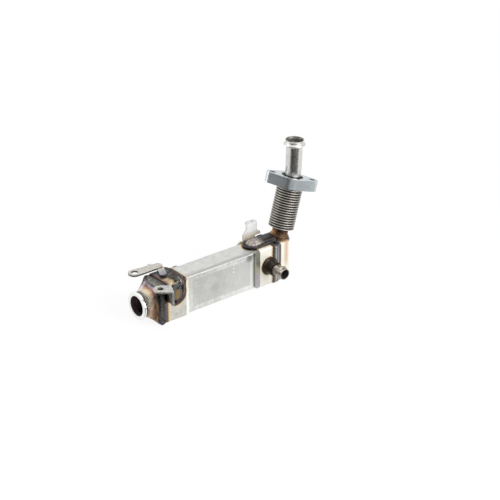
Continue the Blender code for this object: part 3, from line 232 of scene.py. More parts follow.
class Finish:
    """A material's node tree with short ways to add to it."""

    def __init__(self, name):
        self.material = bpy.data.materials.new(name)
        self.material.use_nodes = True
        self.tree = self.material.node_tree
        self.shader = self.tree.nodes["Principled BSDF"]
        coordinates = self.node("TexCoord")
        mapping = self.node("Mapping")
        mapping.inputs["Location"].default_value = (-BASE / MM).tolist()
        mapping.inputs["Scale"].default_value = (1 / MM,) * 3
        self.feed(mapping.inputs["Vector"], coordinates.outputs["Object"])
        self.place = mapping.outputs["Vector"]
        split = self.node("SeparateXYZ")
        self.feed(split.inputs[0], self.place)
        self.x, self.y, self.z = split.outputs

    def node(self, kind, **settings):
        item = self.tree.nodes.new("ShaderNode" + kind)
        for key, value in settings.items():
            setattr(item, key, value)
        return item

    def feed(self, socket, value):
        if isinstance(value, bpy.types.NodeSocket):
            self.tree.links.new(value, socket)
        else:
            socket.default_value = value

    def math(self, operation, *values):
        item = self.node("Math", operation=operation)
        for socket, value in zip(item.inputs, values):
            self.feed(socket, value)
        return item.outputs[0]

    def noise(self, scale, detail=3.0, roughness=0.55, stretch=(1, 1, 1)):
        """Cloudy noise from 0 to 1, with scale in spots per millimetre."""
        mapping = self.node("Mapping")
        mapping.inputs["Scale"].default_value = stretch
        self.feed(mapping.inputs["Vector"], self.place)
        item = self.node("TexNoise")
        self.feed(item.inputs["Vector"], mapping.outputs["Vector"])
        item.inputs["Scale"].default_value = scale
        item.inputs["Detail"].default_value = detail
        item.inputs["Roughness"].default_value = roughness
        return item.outputs["Fac"]

    def ramp(self, value, *stops):
        """Colours at places from 0 to 1, blended in between."""
        item = self.node("ValToRGB")
        self.feed(item.inputs["Fac"], value)
        elements = item.color_ramp.elements
        while len(elements) < len(stops):
            elements.new(0.5)
        for element, (place, colour) in zip(elements, stops):
            element.position = place
            element.color = colour
        return item.outputs["Color"]

    def span(self, value, low, high, start=0.0, end=1.0):
        """Carry low..high onto start..end with a soft start and stop."""
        item = self.node("MapRange", interpolation_type="SMOOTHSTEP")
        for socket, given in zip(item.inputs, (value, low, high, start, end)):
            self.feed(socket, given)
        return item.outputs["Result"]

    def blend(self, share, first, second, mode="MIX"):
        item = self.node("Mix", data_type="RGBA", blend_type=mode)
        for index, value in ((0, share), (6, first), (7, second)):
            self.feed(item.inputs[index], value)
        return item.outputs[2]

    def mark(self, label):
        return self.node("Attribute", attribute_name=label).outputs["Fac"]

    def dent(self, height, distance, strength=1.0):
        """Bump the surface by a height from 0 to 1 times a distance in millimetres."""
        item = self.node("Bump")
        item.inputs["Strength"].default_value = strength
        item.inputs["Distance"].default_value = distance * MM
        self.feed(item.inputs["Height"], height)
        self.feed(self.shader.inputs["Normal"], item.outputs["Normal"])

    def set(self, **values):
        for key, value in values.items():
            self.feed(self.shader.inputs[key.replace("_", " ")], value)
        return self.material


# %% [markdown]
# Welding heat colours stainless steel in bands that follow the weld: near black at the bead, then
# slate blue, violet, red brown, gold and straw, until the sheet is bare again. The real cause is
# the thickness of an oxide film, which falls with the distance from the bead, so the finish does
# the same: it works out how hot each place was from its distance to every weld, stirs that with
# noise, and looks the colour up in one ramp. All sheets share it, so a band runs on from one
# sheet to the next.


# %% Heat that spreads from the welds
def distance(f, *pairs):
    """How far a place is from a point, sqrt of the sum of (coordinate - centre)^2 over the given pairs."""
    total = None
    for coordinate, centre in pairs:
        step = f.math("SUBTRACT", coordinate, centre)
        square = f.math("MULTIPLY", step, step)
        total = square if total is None else f.math("ADD", total, square)
    return f.math("SQRT", total)


def outside(f, value, middle, half):
    """How far a value lies outside the band middle +- half, never below zero."""
    step = f.math("ABSOLUTE", f.math("SUBTRACT", value, middle))
    return f.math("MAXIMUM", f.math("SUBTRACT", step, half), 0.0)


def warmth(f, gap, reach, strength=1.0, only=None):
    """strength * e^(-gap/reach), kept where only is 1."""
    fall = f.math("MULTIPLY", f.math("EXPONENT", f.math("MULTIPLY", gap, -1 / reach)), strength)
    return fall if only is None else f.math("MULTIPLY", fall, only)


def hottest(f, sources):
    """The largest of several values."""
    most = sources[0]
    for source in sources[1:]:
        most = f.math("MAXIMUM", most, source)
    return most


def front_heat(f):
    """Heat of the welds round the gas inlet: seam, neck and saddle ring, and a dark patch behind the nut tab that is
    partly heat scorching and partly painted shadow of the tab.
    """
    near_side = f.span(f.y, -9.0, -15.0)
    on_top = f.span(f.z, 56.0, 60.0)
    ahead_reach = f.span(f.z, 40.0, 24.0, 7.0, 10.0)
    behind_reach = f.math("ADD", 5.0, f.math("MULTIPLY", on_top, 4.0))
    behind = f.span(f.x, -1.0, 2.0)
    reach = f.math("ADD", f.math("MULTIPLY", behind, behind_reach), f.math("MULTIPLY", f.math("SUBTRACT", 1.0, behind), ahead_reach))
    seam_gap = f.math("DIVIDE", outside(f, f.x, 0.5, 3.8), reach)
    seam = f.math("EXPONENT", f.math("MULTIPLY", seam_gap, -1.0))
    low_part = f.math("MINIMUM", f.math("SUBTRACT", f.z, 42.0), 0.0)
    ring = outside(f, distance(f, (f.x, 24.3), (low_part, 0.0)), 13.9, 3.2)
    right = f.span(f.x, 14.0, 24.0)
    # Partly heat scorching and partly painted shadow: a dark patch on the near side under the nut tab.
    scorch_and_tab_shadow = f.math("MAXIMUM", f.math("SUBTRACT", distance(f, (f.x, 3.0), (f.z, 42.0)), 10.0), 0.0)
    return hottest(f, [
        seam,
        warmth(f, outside(f, f.x, -20.5, 2.0), 3.0, 0.42, f.span(f.z, 44.0, 30.0)),
        warmth(f, ring, 1.9, 0.9, right),
        warmth(f, scorch_and_tab_shadow, 3.2, 1.0, near_side),
    ])


def rear_heat(f):
    """Heat of the welds round the gas outlet: seam, hood, stub, boss and the side bars."""
    near_side = f.span(f.y, -9.0, -15.0)
    far_side = f.span(f.y, 9.0, 15.0)
    top = f.span(f.z, 55.0, 61.0)
    along = f.math("MAXIMUM", f.math("SUBTRACT", f.math("ABSOLUTE", f.math("SUBTRACT", f.x, 202.8)), 24.8), 0.0)
    from_hood = distance(f, (along, 0.0), (f.y, 2.0))
    hood_edge = outside(f, from_hood, 12.0, 1.7)
    stub = distance(f, (f.x, 227.5), (f.y, 0.0))
    return hottest(f, [
        warmth(f, outside(f, f.x, 204.2, 4.2), 2.6, 0.62, f.span(f.x, 206.0, 203.0)),
        warmth(f, outside(f, f.x, 208.0, 5.2), 1.0, 0.62),
        warmth(f, hood_edge, 2.6, 0.85, top),
        warmth(f, outside(f, stub, 0.0, 13.5), 5.0, 0.95, top),
        warmth(f, outside(f, distance(f, (f.x, 192.0), (f.z, 31.0)), 0.0, 13.0), 1.8, 0.5, near_side),
        warmth(f, outside(f, distance(f, (f.x, 75.0), (f.z, 31.0)), 0.0, 13.0), 1.8, 0.5, far_side),
    ])


BARE = tone(213, 213, 208)
HEAT_TONES = (
    (0.00, None),
    (0.08, None),
    (0.18, tone(230, 216, 182)),
    (0.29, tone(174, 142, 104)),
    (0.37, tone(122, 92, 66)),
    (0.45, tone(112, 80, 70)),
    (0.53, tone(114, 102, 116)),
    (0.61, tone(86, 92, 102)),
    (0.72, tone(112, 114, 111)),
    (0.82, tone(76, 69, 62)),
    (0.90, tone(44, 38, 33)),
    (1.00, tone(26, 23, 21)),
)
CONE_TONES = (
    (0.00, tone(222, 222, 210)),
    (0.10, tone(186, 192, 178)),
    (0.22, tone(202, 180, 154)),
    (0.33, tone(166, 132, 104)),
    (0.42, tone(126, 90, 70)),
    (0.49, tone(144, 116, 138)),
    (0.58, tone(150, 138, 152)),
    (0.68, tone(108, 112, 118)),
    (0.80, tone(88, 78, 66)),
    (1.00, tone(30, 26, 23)),
)


def heat_colour(f, heat, plain, stir, tones=HEAT_TONES):
    """The oxide ramp at a heat that two sizes of noise have stirred, more so where it is hot."""
    clouds = f.math("SUBTRACT", f.noise(0.14, 4.0, 0.62), 0.5)
    fine = f.math("SUBTRACT", f.noise(0.7, 3.0, 0.6), 0.5)
    streaks = f.math("SUBTRACT", f.noise(0.5, 2.0, 0.5, (1.0, 0.15, 0.15)), 0.5)
    mixed = f.math("ADD", f.math("MULTIPLY", clouds, 2.0 * stir), f.math("MULTIPLY", fine, 0.9 * stir))
    mixed = f.math("ADD", mixed, f.math("MULTIPLY", streaks, 0.7 * stir))
    stirred = f.math("ADD", heat, f.math("MULTIPLY", heat, mixed))
    return f.ramp(stirred, *[(place, colour or plain) for place, colour in tones])


def tinted_sheet(name, heat_of=None, plain=BARE, stir=0.42, grain=0.34, metallic=0.9, contrast=1.0, soot=0.0,
                 extra=None, tones=HEAT_TONES, bare_behind=False):
    """Rolled stainless sheet: bare colour with mottles and rolling streaks, heat bands near the welds."""
    f = Finish(name)
    colour = heat_colour(f, heat_of(f), plain, stir, tones) if heat_of else plain
    patches = f.noise(0.13, 5.0, 0.65)
    streaks = f.noise(0.35, 4.0, 0.6, (0.12, 1.0, 1.0))
    mottle = f.math("ADD", f.math("MULTIPLY", patches, 0.65), f.math("MULTIPLY", streaks, 0.35))
    low, middle, high = 1 - 0.22 * contrast, 1 - 0.04 * contrast, 1 + 0.10 * contrast
    shade = f.ramp(mottle, (0.34, (low, low, low, 1)), (0.50, (middle, middle, middle, 1)), (0.66, (high, high, high, 1)))
    colour = f.blend(1.0, colour, shade, "MULTIPLY")
    if extra:
        colour = extra(f, colour)
    # Painted light: with bare_behind, the near side keeps the near-white plain colour that stands for strong light,
    # while the far side shows bare steel.
    if bare_behind:
        behind = f.math("MULTIPLY", f.span(f.y, -11.0, 2.0), f.span(f.z, 61.0, 59.0))
        steel = f.ramp(mottle, (0.36, tone(158, 157, 152)), (0.50, tone(204, 203, 198)), (0.64, tone(226, 226, 222)))
        colour = f.blend(f.math("MULTIPLY", behind, 0.85), colour, f.blend(1.0, colour, steel, "MULTIPLY"))
        metallic = f.span(behind, 0.0, 1.0, metallic, 0.8)
    if soot:
        colour = f.blend(f.span(f.mark("bore"), 0.0, 1.0, 0.0, soot), colour, tone(150, 132, 138))
        metallic = f.span(f.mark("bore"), 0.0, 1.0, metallic, 0.1)
    rough = f.math("ADD", grain, f.math("MULTIPLY", f.math("SUBTRACT", patches, 0.5), 0.4))
    fine = f.noise(0.9, 3.0, 0.6)
    f.dent(f.math("ADD", f.math("MULTIPLY", streaks, 0.6), f.math("MULTIPLY", fine, 0.4)), 0.06, 0.5)
    return f.set(Base_Color=colour, Roughness=rough, Metallic=metallic, Specular_IOR_Level=0.25)


# %% [markdown]
# Each sheet part then gets its own mix of bare colour, heat and marks of wear: the jacket is rubbed
# and stained and carries painted light, painted shade and a painted reflection, the saddle plate is
# scorched all over, and the rear sheets are painted almost white on their near side as painted light.

# %% Finishes of the sheet parts
def spot(f, centre, radius, soft):
    """1 inside a ball round a place in millimetres, 0 outside, with a soft and slightly ragged edge."""
    far = distance(f, (f.x, centre[0]), (f.y, centre[1]), (f.z, centre[2]))
    ragged = f.math("ADD", far, f.math("MULTIPLY", f.math("SUBTRACT", f.noise(0.4), 0.5), radius * 0.8))
    return f.span(ragged, radius + soft, radius - soft)


def scuffs_and_painted_light(f, colour):
    """Pale slanting rubs and two bright nicks on the jacket's side; painted light towards the outlet end, a painted
    reflection of the side bar, and painted shade along the near top edge.
    """
    slant = f.math("ADD", f.math("MULTIPLY", f.x, 0.8), f.math("MULTIPLY", f.z, -0.5))
    lines = f.node("TexNoise", noise_dimensions="1D")
    f.feed(lines.inputs["W"], slant)
    lines.inputs["Scale"].default_value = 0.55
    lines.inputs["Detail"].default_value = 3.0
    worn = f.math("MAXIMUM", f.span(f.noise(0.08), 0.50, 0.62), spot(f, (86.0, -18.6, 38.0), 9.0, 6.0))
    across = f.math("ABSOLUTE", f.y)
    worn = f.math("MULTIPLY", worn, f.span(across, 16.6, 17.6))
    rubbed = f.math("MULTIPLY", f.span(lines.outputs["Fac"], 0.50, 0.60), worn)
    colour = f.blend(f.math("MULTIPLY", rubbed, 0.75), colour, tone(244, 245, 242))
    # Painted light: the lower part of both sides grows lighter towards the outlet end.
    painted_light_towards_outlet = f.math("MULTIPLY", f.span(f.x, 96.0, 150.0, 0.0, 0.55), f.span(across, 16.8, 17.6))
    colour = f.blend(f.math("MULTIPLY", painted_light_towards_outlet, f.span(f.z, 57.0, 50.0)), colour, tone(232, 233, 230))
    # Painted reflection: the grey spot on the near side by the side bar stands for the bar's reflection.
    colour = f.blend(f.math("MULTIPLY", spot(f, (157.0, -18.6, 53.5), 5.5, 3.0), 0.85), colour, tone(132, 135, 130))
    colour = f.blend(f.math("MULTIPLY", spot(f, (94.0, -18.6, 26.0), 7.0, 6.0), 0.5), colour, tone(170, 170, 172))
    # Painted shade: a soft grey band along the near top edge, and a darker line just below it on the side.
    fold = f.math("MULTIPLY", f.span(f.y, -8.5, -14.5), f.span(across, 18.3, 17.6))
    colour = f.blend(f.math("MULTIPLY", fold, 0.62), colour, tone(160, 161, 159))
    painted_shade_under_edge = f.math("MULTIPLY", f.span(f.z, 56.6, 57.6), f.span(f.y, -17.3, -18.1))
    colour = f.blend(f.math("MULTIPLY", painted_shade_under_edge, 0.85), colour, tone(166, 167, 165))
    corner_tan = f.math("MULTIPLY", spot(f, (45.0, -13.0, 60.6), 6.0, 5.0), 0.45)
    colour = f.blend(corner_tan, colour, tone(206, 176, 146))
    for height in (45.8, 40.2):
        colour = f.blend(spot(f, (128.3, -18.2, height), 1.0, 0.5), colour, tone(252, 252, 250))
    return colour


def painted_highlight_lip(f, colour):
    """The inlet sleeve's tapered rear lip is painted nearly white on its sides, cream towards the top: a painted
    highlight.
    """
    on_side = f.span(f.math("ABSOLUTE", f.y), 16.0, 19.0)
    # Painted highlight: near white laid over the lip's sides.
    lip = f.math("MULTIPLY", f.span(f.x, 41.2, 42.6), f.math("MULTIPLY", on_side, f.span(f.z, 60.0, 54.0)))
    pale = f.ramp(f.math("DIVIDE", f.z, 60.0), (0.40, tone(250, 250, 246)), (0.70, tone(246, 236, 210)))
    return f.blend(lip, colour, pale)


def cone_edges(f, colour):
    """The cone's far shoulder is lilac white, its far side is darkened as painted shade, and its foot is streaked brown
    at the seam.
    """
    shoulder = f.math("MULTIPLY", f.span(f.y, 4.0, 11.0), f.span(f.z, 36.0, 46.0))
    colour = f.blend(f.math("MULTIPLY", shoulder, 0.7), colour, tone(230, 220, 228))
    browned = f.math("MULTIPLY", f.span(f.z, 42.0, 33.0), f.span(f.x, -13.0, -10.5))
    streaks = f.ramp(f.noise(0.6, 3.0, 0.6, (1.0, 0.12, 0.12)), (0.40, tone(66, 52, 42)), (0.60, tone(138, 108, 80)))
    colour = f.blend(f.math("MULTIPLY", browned, 0.95), colour, streaks)
    # Painted shade: the far side darkens towards its grazing edge.
    return f.blend(f.span(f.y, 11.5, 14.5, 0.0, 0.9), colour, tone(64, 56, 54))


def hood_tint(f, colour):
    """A tan blush where the tank bends; the hood is mauve grey with clouds, nearly black towards the stub."""
    blush = f.math("MULTIPLY", f.span(outside(f, f.x, 224.5, 0.8), 6.5, 0.0), f.span(f.z, 10.0, 34.0, 0.0, 0.78))
    colour = f.blend(blush, colour, tone(212, 178, 148))
    clouds = f.ramp(f.noise(0.28, 4.0, 0.65), (0.36, tone(104, 98, 96)), (0.50, tone(172, 162, 155)),
                    (0.64, tone(208, 199, 190)))
    colour = f.blend(f.span(f.z, 61.4, 62.6), colour, clouds)
    dark = f.math("MULTIPLY", f.span(f.z, 61.4, 62.6), f.span(f.x, 183.0, 195.0))
    return f.blend(f.math("MULTIPLY", dark, 0.95), colour, tone(34, 30, 30))


def scorched(f):
    """Heat of the saddle plate: hot all over, with a tan patch at the top corner and a gold one in the ring."""
    cooler = hottest(f, [
        f.math("MULTIPLY", spot(f, (26.0, -22.0, 41.0), 8.0, 3.0), 0.20),
        f.math("MULTIPLY", spot(f, (23.0, -22.0, 53.5), 5.0, 3.0), 0.18),
        f.math("MULTIPLY", spot(f, (20.0, 1.0, 63.0), 3.0, 2.0), 0.45),
        f.math("MULTIPLY", f.span(f.x, 14.0, 9.5), 0.42),
        f.math("MULTIPLY", f.span(f.y, 4.0, 14.0), 0.25),
    ])
    return f.math("SUBTRACT", 0.86, cooler)


def saddle_patches(f, colour):
    """A cream patch over the top corner, an olive gold one inside the bead, and a bare grey line along it."""
    cream = hottest(f, [spot(f, (16.5, -17.0, 62.0), 4.8, 2.6), spot(f, (15.0, -11.0, 62.8), 4.6, 2.6)])
    gold = hottest(f, [spot(f, (26.5, -22.0, 44.0), 4.0, 2.4), spot(f, (25.5, -22.0, 37.5), 3.6, 2.4)])
    colour = f.blend(f.math("MULTIPLY", cream, 0.9), colour, tone(194, 170, 134))
    colour = f.blend(f.math("MULTIPLY", gold, 0.85), colour, tone(150, 122, 62))
    from_ring = distance(f, (f.x, 24.3), (f.math("MINIMUM", f.math("SUBTRACT", f.z, 42.0), 0.0), 0.0))
    arc = f.math("MULTIPLY", f.span(outside(f, from_ring, 8.9, 0.7), 1.4, 0.2), f.span(f.z, 52.0, 57.0))
    arc = f.math("MULTIPLY", arc, f.span(f.x, 28.0, 31.0))
    arc = f.math("MULTIPLY", arc, f.span(f.y, -11.0, -15.0, 0.0, 0.6))
    return f.blend(arc, colour, tone(170, 170, 166))


def bar_tint(f, colour):
    """Side bars: dull grey green, olive halfway, mauve at the foot, and burnt at the near one's top."""
    colour = f.blend(1.0, colour, f.ramp(
        f.math("DIVIDE", f.z, 64.0),
        (0.05, tone(228, 224, 232)), (0.30, tone(216, 208, 222)), (0.50, tone(214, 210, 190)),
        (0.72, tone(210, 212, 202)), (0.88, tone(186, 186, 178)),
    ), "MULTIPLY")
    burnt = f.math("MULTIPLY", f.span(f.z, 57.0, 61.0), f.span(f.y, -8.0, -14.0))
    return f.blend(f.math("MULTIPLY", burnt, 0.6), colour, tone(96, 92, 84))


front_sheet = tinted_sheet("heat_tinted_front_sheet", front_heat, tone(204, 202, 193), soot=1.0, extra=painted_highlight_lip)
cone_sheet = tinted_sheet("heat_tinted_cone_sheet", front_heat, soot=1.0, extra=cone_edges, tones=CONE_TONES)
jacket_sheet = tinted_sheet("jacket_sheet", rear_heat, tone(211, 212, 208), grain=0.42, contrast=0.8, extra=scuffs_and_painted_light)
# Painted light: the rear sheets are near white and barely metallic on their near side, standing for strong light.
rear_sheet = tinted_sheet("rear_sheet_painted_light_white", rear_heat, tone(252, 249, 236), metallic=0.2, contrast=0.2,
                          extra=hood_tint, bare_behind=True)
saddle_sheet = tinted_sheet("scorched_saddle_sheet", scorched, stir=0.55, extra=saddle_patches)
bar_sheet = tinted_sheet("dull_bar_sheet", None, tone(204, 205, 200), contrast=1.2, extra=bar_tint)
print("sheet finishes:", [m.name for m in (front_sheet, cone_sheet, jacket_sheet, rear_sheet, saddle_sheet, bar_sheet)])

# %% [markdown]
# The other metals: weld beads are charcoal oxide with a blue cast and bare specks, brackets are
# pale plated sheet (the upright one painted near white as painted light), the flange is matt cast
# aluminium with a fine sandy grain and painted shade in its recess, and the turned ring, hose tube
# and nipples are bright drawn steel. Bores are dulled by soot in the gas path and by painted shade
# in the coolant nipples, which a mark on the mesh tells the shader.


# %% The other finishes
def weld_oxide(name, gain=1.0, low_gain=1.0, tint=(106, 102, 98), extra=None):
    """Charcoal oxide in clouds and specks, with bare glints on the ripples and a violet or blue cast in places."""
    f = Finish(name)
    clouds = f.noise(0.30, 4.0, 0.7)
    specks = f.noise(1.1, 3.0, 0.65)
    mottle = f.math("ADD", f.math("MULTIPLY", clouds, 0.55), f.math("MULTIPLY", specks, 0.45))
    middle = np.array(tint)
    colour = f.ramp(mottle, (0.34, tone(24, 23, 23)), (0.44, tone(*(middle * 0.55))), (0.52, tone(*middle)),
                    (0.58, tone(*(middle * 0.72))), (0.66, tone(*np.minimum(middle * 1.75, 220))))
    cast = f.ramp(f.noise(0.22, 2.0, 0.5), (0.36, tone(255, 236, 208)), (0.48, tone(255, 255, 255)),
                  (0.56, tone(228, 236, 255)), (0.64, tone(246, 228, 246)))
    colour = f.blend(1.0, colour, cast, "MULTIPLY")
    level = f.span(f.z, 48.0, 61.0, gain * low_gain, gain)
    colour = f.blend(1.0, colour, f.ramp(level, (0.0, (0, 0, 0, 1)), (1.0, (1, 1, 1, 1))), "MULTIPLY")
    if extra:
        colour = extra(f, colour)
    rough = f.math("ADD", 0.24, f.math("MULTIPLY", clouds, 0.3))
    f.dent(specks, 0.16, 0.7)
    return f.set(Base_Color=colour, Roughness=rough, Metallic=0.92)


def seam_stripes_with_painted_shade(f, colour):
    """Across the end tank's seam on the sides: charcoal oxide in front, deepened as painted shade, a pale slate stripe
    halfway as a painted highlight, then mauve and bare steel behind.
    """
    across = f.math("DIVIDE", f.math("SUBTRACT", f.x, 199.5), 10.4)
    # Painted shade and highlight across the rounded bead, over its oxide tints.
    stripes = f.ramp(across, (0.00, tone(62, 58, 56)), (0.26, tone(84, 86, 86)), (0.46, tone(186, 196, 194)),
                     (0.64, tone(96, 98, 100)), (0.84, tone(150, 134, 138)), (0.97, tone(232, 226, 220)))
    on_side = f.span(f.z, 60.0, 57.0, 0.0, 0.72)
    return f.blend(on_side, colour, stripes)


def stub_tints(f, colour):
    """The stub's bead is burnt nearly black towards the near side and stays tan towards the jacket."""
    colour = f.blend(f.math("MULTIPLY", spot(f, (218.0, 7.0, 68.0), 6.0, 4.0), 0.8), colour, tone(186, 142, 104))
    colour = f.blend(f.math("MULTIPLY", spot(f, (223.0, -10.0, 73.0), 6.5, 4.0), 0.9), colour, tone(34, 25, 19))
    return f.blend(f.math("MULTIPLY", spot(f, (216.0, -6.0, 64.0), 4.0, 3.0), 0.6), colour, tone(92, 44, 30))


def plated_steel(name, dark, light, metallic=0.45, edge_oxide_and_shade=0.0, extra=None):
    """Pale plated sheet with soft clouds; steep faces, such as a level strap's cut edges, can be darkened, partly as
    oxide and partly as painted shade.
    """
    f = Finish(name)
    clouds = f.noise(0.22, 4.0, 0.6)
    fine = f.noise(1.3, 3.0, 0.6)
    colour = f.ramp(clouds, (0.34, dark), (0.64, light))
    if extra:
        colour = extra(f, colour)
    # Partly oxide and partly painted shade: faces that stand steep are darkened.
    if edge_oxide_and_shade:
        split = f.node("SeparateXYZ")
        f.feed(split.inputs[0], f.node("TexCoord").outputs["Normal"])
        steep = f.span(f.math("ABSOLUTE", split.outputs[2]), 0.75, 0.35)
        colour = f.blend(f.math("MULTIPLY", steep, edge_oxide_and_shade), colour, tone(70, 66, 58))
    rough = f.math("ADD", 0.34, f.math("MULTIPLY", fine, 0.2))
    f.dent(fine, 0.04, 0.5)
    return f.set(Base_Color=colour, Roughness=rough, Metallic=metallic)


def strap_tints(f, colour):
    """Heat on the strap: tan at its end over the saddle, lilac grey and charcoal on the tongue."""
    colour = f.blend(f.math("MULTIPLY", spot(f, (28.5, 19.5, 66.0), 6.5, 4.0), 0.26), colour, tone(206, 170, 138))
    tongue = f.math("MULTIPLY", f.span(f.y, 14.0, 7.0), f.span(f.x, 14.0, 17.0))
    colour = f.blend(f.math("MULTIPLY", tongue, 0.8), colour, tone(150, 148, 160))
    return f.blend(f.math("MULTIPLY", f.span(f.y, 4.0, -3.5), 0.7), colour, tone(66, 62, 60))


def straw_foot(f, colour):
    """The upright bracket's foot has a straw and brown tint where it was welded."""
    colour = f.blend(f.span(f.z, 74.0, 66.0, 0.0, 0.6), colour, tone(214, 198, 172))
    return f.blend(f.span(f.z, 62.0, 54.0, 0.0, 0.8), colour, tone(120, 100, 84))


def cast_aluminium():
    """Matt blue grey casting: fine sandy grain over faint clouds, and painted shade in the recess round the tube."""
    f = Finish("cast_flange_grain")
    clouds = f.noise(0.12, 4.0, 0.6)
    sand = f.noise(2.4, 3.0, 0.7)
    colour = f.ramp(clouds, (0.30, tone(192, 199, 203)), (0.50, tone(200, 207, 210)), (0.70, tone(208, 214, 217)))
    colour = f.blend(f.span(sand, 0.35, 0.7, 0.0, 0.22), colour, tone(160, 166, 169))
    ahead = f.math("MULTIPLY", f.math("SUBTRACT", f.x, OUTLET_FOOT[0] / MM), math.cos(LEAN))
    above = f.math("MULTIPLY", f.math("SUBTRACT", f.z, OUTLET_FOOT[2] / MM), math.sin(LEAN))
    from_axis = distance(f, (f.math("SUBTRACT", ahead, above), 0.0), (f.y, 0.0))
    # Painted shade: the recess round the tube is darkened.
    colour = f.blend(f.span(from_axis, 16.2, 15.4, 0.0, 0.85), colour, tone(74, 70, 62))
    f.dent(sand, 0.08, 0.5)
    return f.set(Base_Color=colour, Roughness=0.33, Metallic=1.0)


def painted_shade_at_tube_foot(f, colour):
    """The hose tube's foot is painted darker and browner where it stands in the flange's recess: painted shade."""
    ahead = f.math("MULTIPLY", f.math("SUBTRACT", f.x, OUTLET_FOOT[0] / MM), math.sin(LEAN))
    above = f.math("MULTIPLY", f.math("SUBTRACT", f.z, OUTLET_FOOT[2] / MM), math.cos(LEAN))
    # Painted shade: darker and browner towards the foot.
    return f.blend(f.span(f.math("ADD", ahead, above), 100.0, 91.0, 0.0, 0.85), colour, tone(92, 85, 72))


def bright_steel(name, bore_soot_and_shade_tone, streak=0.35, plain=(222, 221, 216), rough_from=0.16, extra=None):
    """Drawn or turned steel: bright, with faint draw lines, and darkened inside by the mark on the mesh: soot in the
    gas bores, painted shade in the coolant nipples.
    """
    f = Finish(name)
    clouds = f.noise(0.25, 4.0, 0.6)
    lines = f.noise(1.2, 3.0, 0.6, (1.0, 1.0, 0.08))
    middle = np.array(plain)
    colour = f.ramp(clouds, (0.30, tone(*(middle * 0.93))), (0.55, tone(*middle)),
                    (0.75, tone(*np.minimum(middle * 1.04, 250))))
    colour = f.blend(f.span(lines, 0.45, 0.72, 0.0, streak), colour, tone(112, 108, 104))
    colour = f.blend(f.mark("bore"), colour, bore_soot_and_shade_tone)
    if extra:
        colour = extra(f, colour)
    rough = f.math("ADD", rough_from, f.math("MULTIPLY", lines, 0.16))
    f.dent(lines, 0.03, 0.3)
    bare = f.math("SUBTRACT", 1.0, f.math("MULTIPLY", f.mark("bore"), 0.75))
    return f.set(Base_Color=colour, Roughness=rough, Metallic=bare)


def bellows_steel():
    """Thin drawn steel, light on the crests and darker in the grooves as painted shade, by the mark that the mesh
    carries.
    """
    f = Finish("bellows_steel")
    clouds = f.noise(0.3, 4.0, 0.6)
    ridge = f.math("ADD", f.mark("crest"), f.math("MULTIPLY", f.math("SUBTRACT", clouds, 0.5), 0.35))
    # Painted shade: the grooves are darker than the crests.
    colour = f.ramp(ridge, (0.10, tone(90, 85, 80)), (0.50, tone(128, 123, 116)), (0.85, tone(158, 154, 147)),
                    (1.00, tone(190, 187, 181)))
    return f.set(Base_Color=colour, Roughness=0.38, Metallic=1.0)


def core_steel():
    """Dull thin sheet of the tubes and fins, browned by hot gas."""
    f = Finish("core_sheet")
    clouds = f.noise(0.2, 4.0, 0.6)
    colour = f.ramp(clouds, (0.3, tone(58, 50, 46)), (0.7, tone(104, 94, 86)))
    return f.set(Base_Color=colour, Roughness=0.5, Metallic=0.9)


seam_finish = weld_oxide("seam_bead_oxide", gain=0.92, low_gain=0.52, tint=(132, 132, 128))
bead_finish = weld_oxide("saddle_bead_oxide", tint=(98, 90, 84))
rear_bead_finish = weld_oxide("rear_bead_oxide", gain=0.20, low_gain=4.3, tint=(172, 170, 168), extra=seam_stripes_with_painted_shade)
stub_bead_finish = weld_oxide("stub_bead_oxide", tint=(120, 94, 66), extra=stub_tints)
neck_finish = weld_oxide("neck_bead_metal", tint=(176, 174, 160))
boss_finish = weld_oxide("boss_oxide", tint=(62, 56, 50))
strap_finish = plated_steel("plated_strap_steel", tone(186, 184, 176), tone(214, 212, 205), 0.6, 0.85, strap_tints)
tab_finish = plated_steel("plated_tab_steel", tone(176, 174, 168), tone(212, 210, 204), 0.7)
# Painted light: the upright bracket is painted near white and not metallic, standing for strong light on it.
post_finish = plated_steel("plated_upright_steel_painted_light", tone(240, 240, 240), tone(250, 250, 251), 0.0, 0.0, straw_foot)
cast_finish = cast_aluminium()
ring_finish = bright_steel("turned_ring_steel", tone(110, 98, 102), 0.2, (246, 246, 243))
tube_finish = bright_steel("drawn_tube_steel", tone(112, 109, 99), 0.24, (216, 215, 211), 0.20, painted_shade_at_tube_foot)
# Painted shade: the nipple's bore is darkened.
nipple_finish = bright_steel("nipple_steel", tone(84, 82, 78), 0.5, (170, 163, 154), 0.18)
bellows_finish = bellows_steel()
core_finish = core_steel()
print("finishes made:", len(bpy.data.materials))

# %% [markdown]
# The welding ring at the gas inlet is a thick turned ring with a flat front face and a back that
# tapers to the neck of the cone. A lathe shape needs one profile only.

# %% Welding ring
ring = soften(np.array([
    (20.5, 7.8), (20.5, 4.8), (16.4, 0.0), (14.3, 0.0), (14.3, 7.8),
]) * MM, 0.8 * MM, 5)
ring_grid = turn_profile(ring, np.array([NECK_STATION - GAP, 0.0, INLET_HEIGHT]), (-1.0, 0.0, 0.0))
ring_bore = np.repeat((ring[:, 0] < 15.0 * MM)[:, None], ring_grid.shape[1], 1)
add_piece("inlet_ring", ring_grid, ring_finish, ["inlet_welding_ring"], marks={"bore": ring_bore})

# %% [markdown]
# The cone is pressed from sheet: round at the neck and rectangular at the body. Its outer and its
# inner wall are the same blend of two outlines, one of them shrunk by the sheet's thickness.

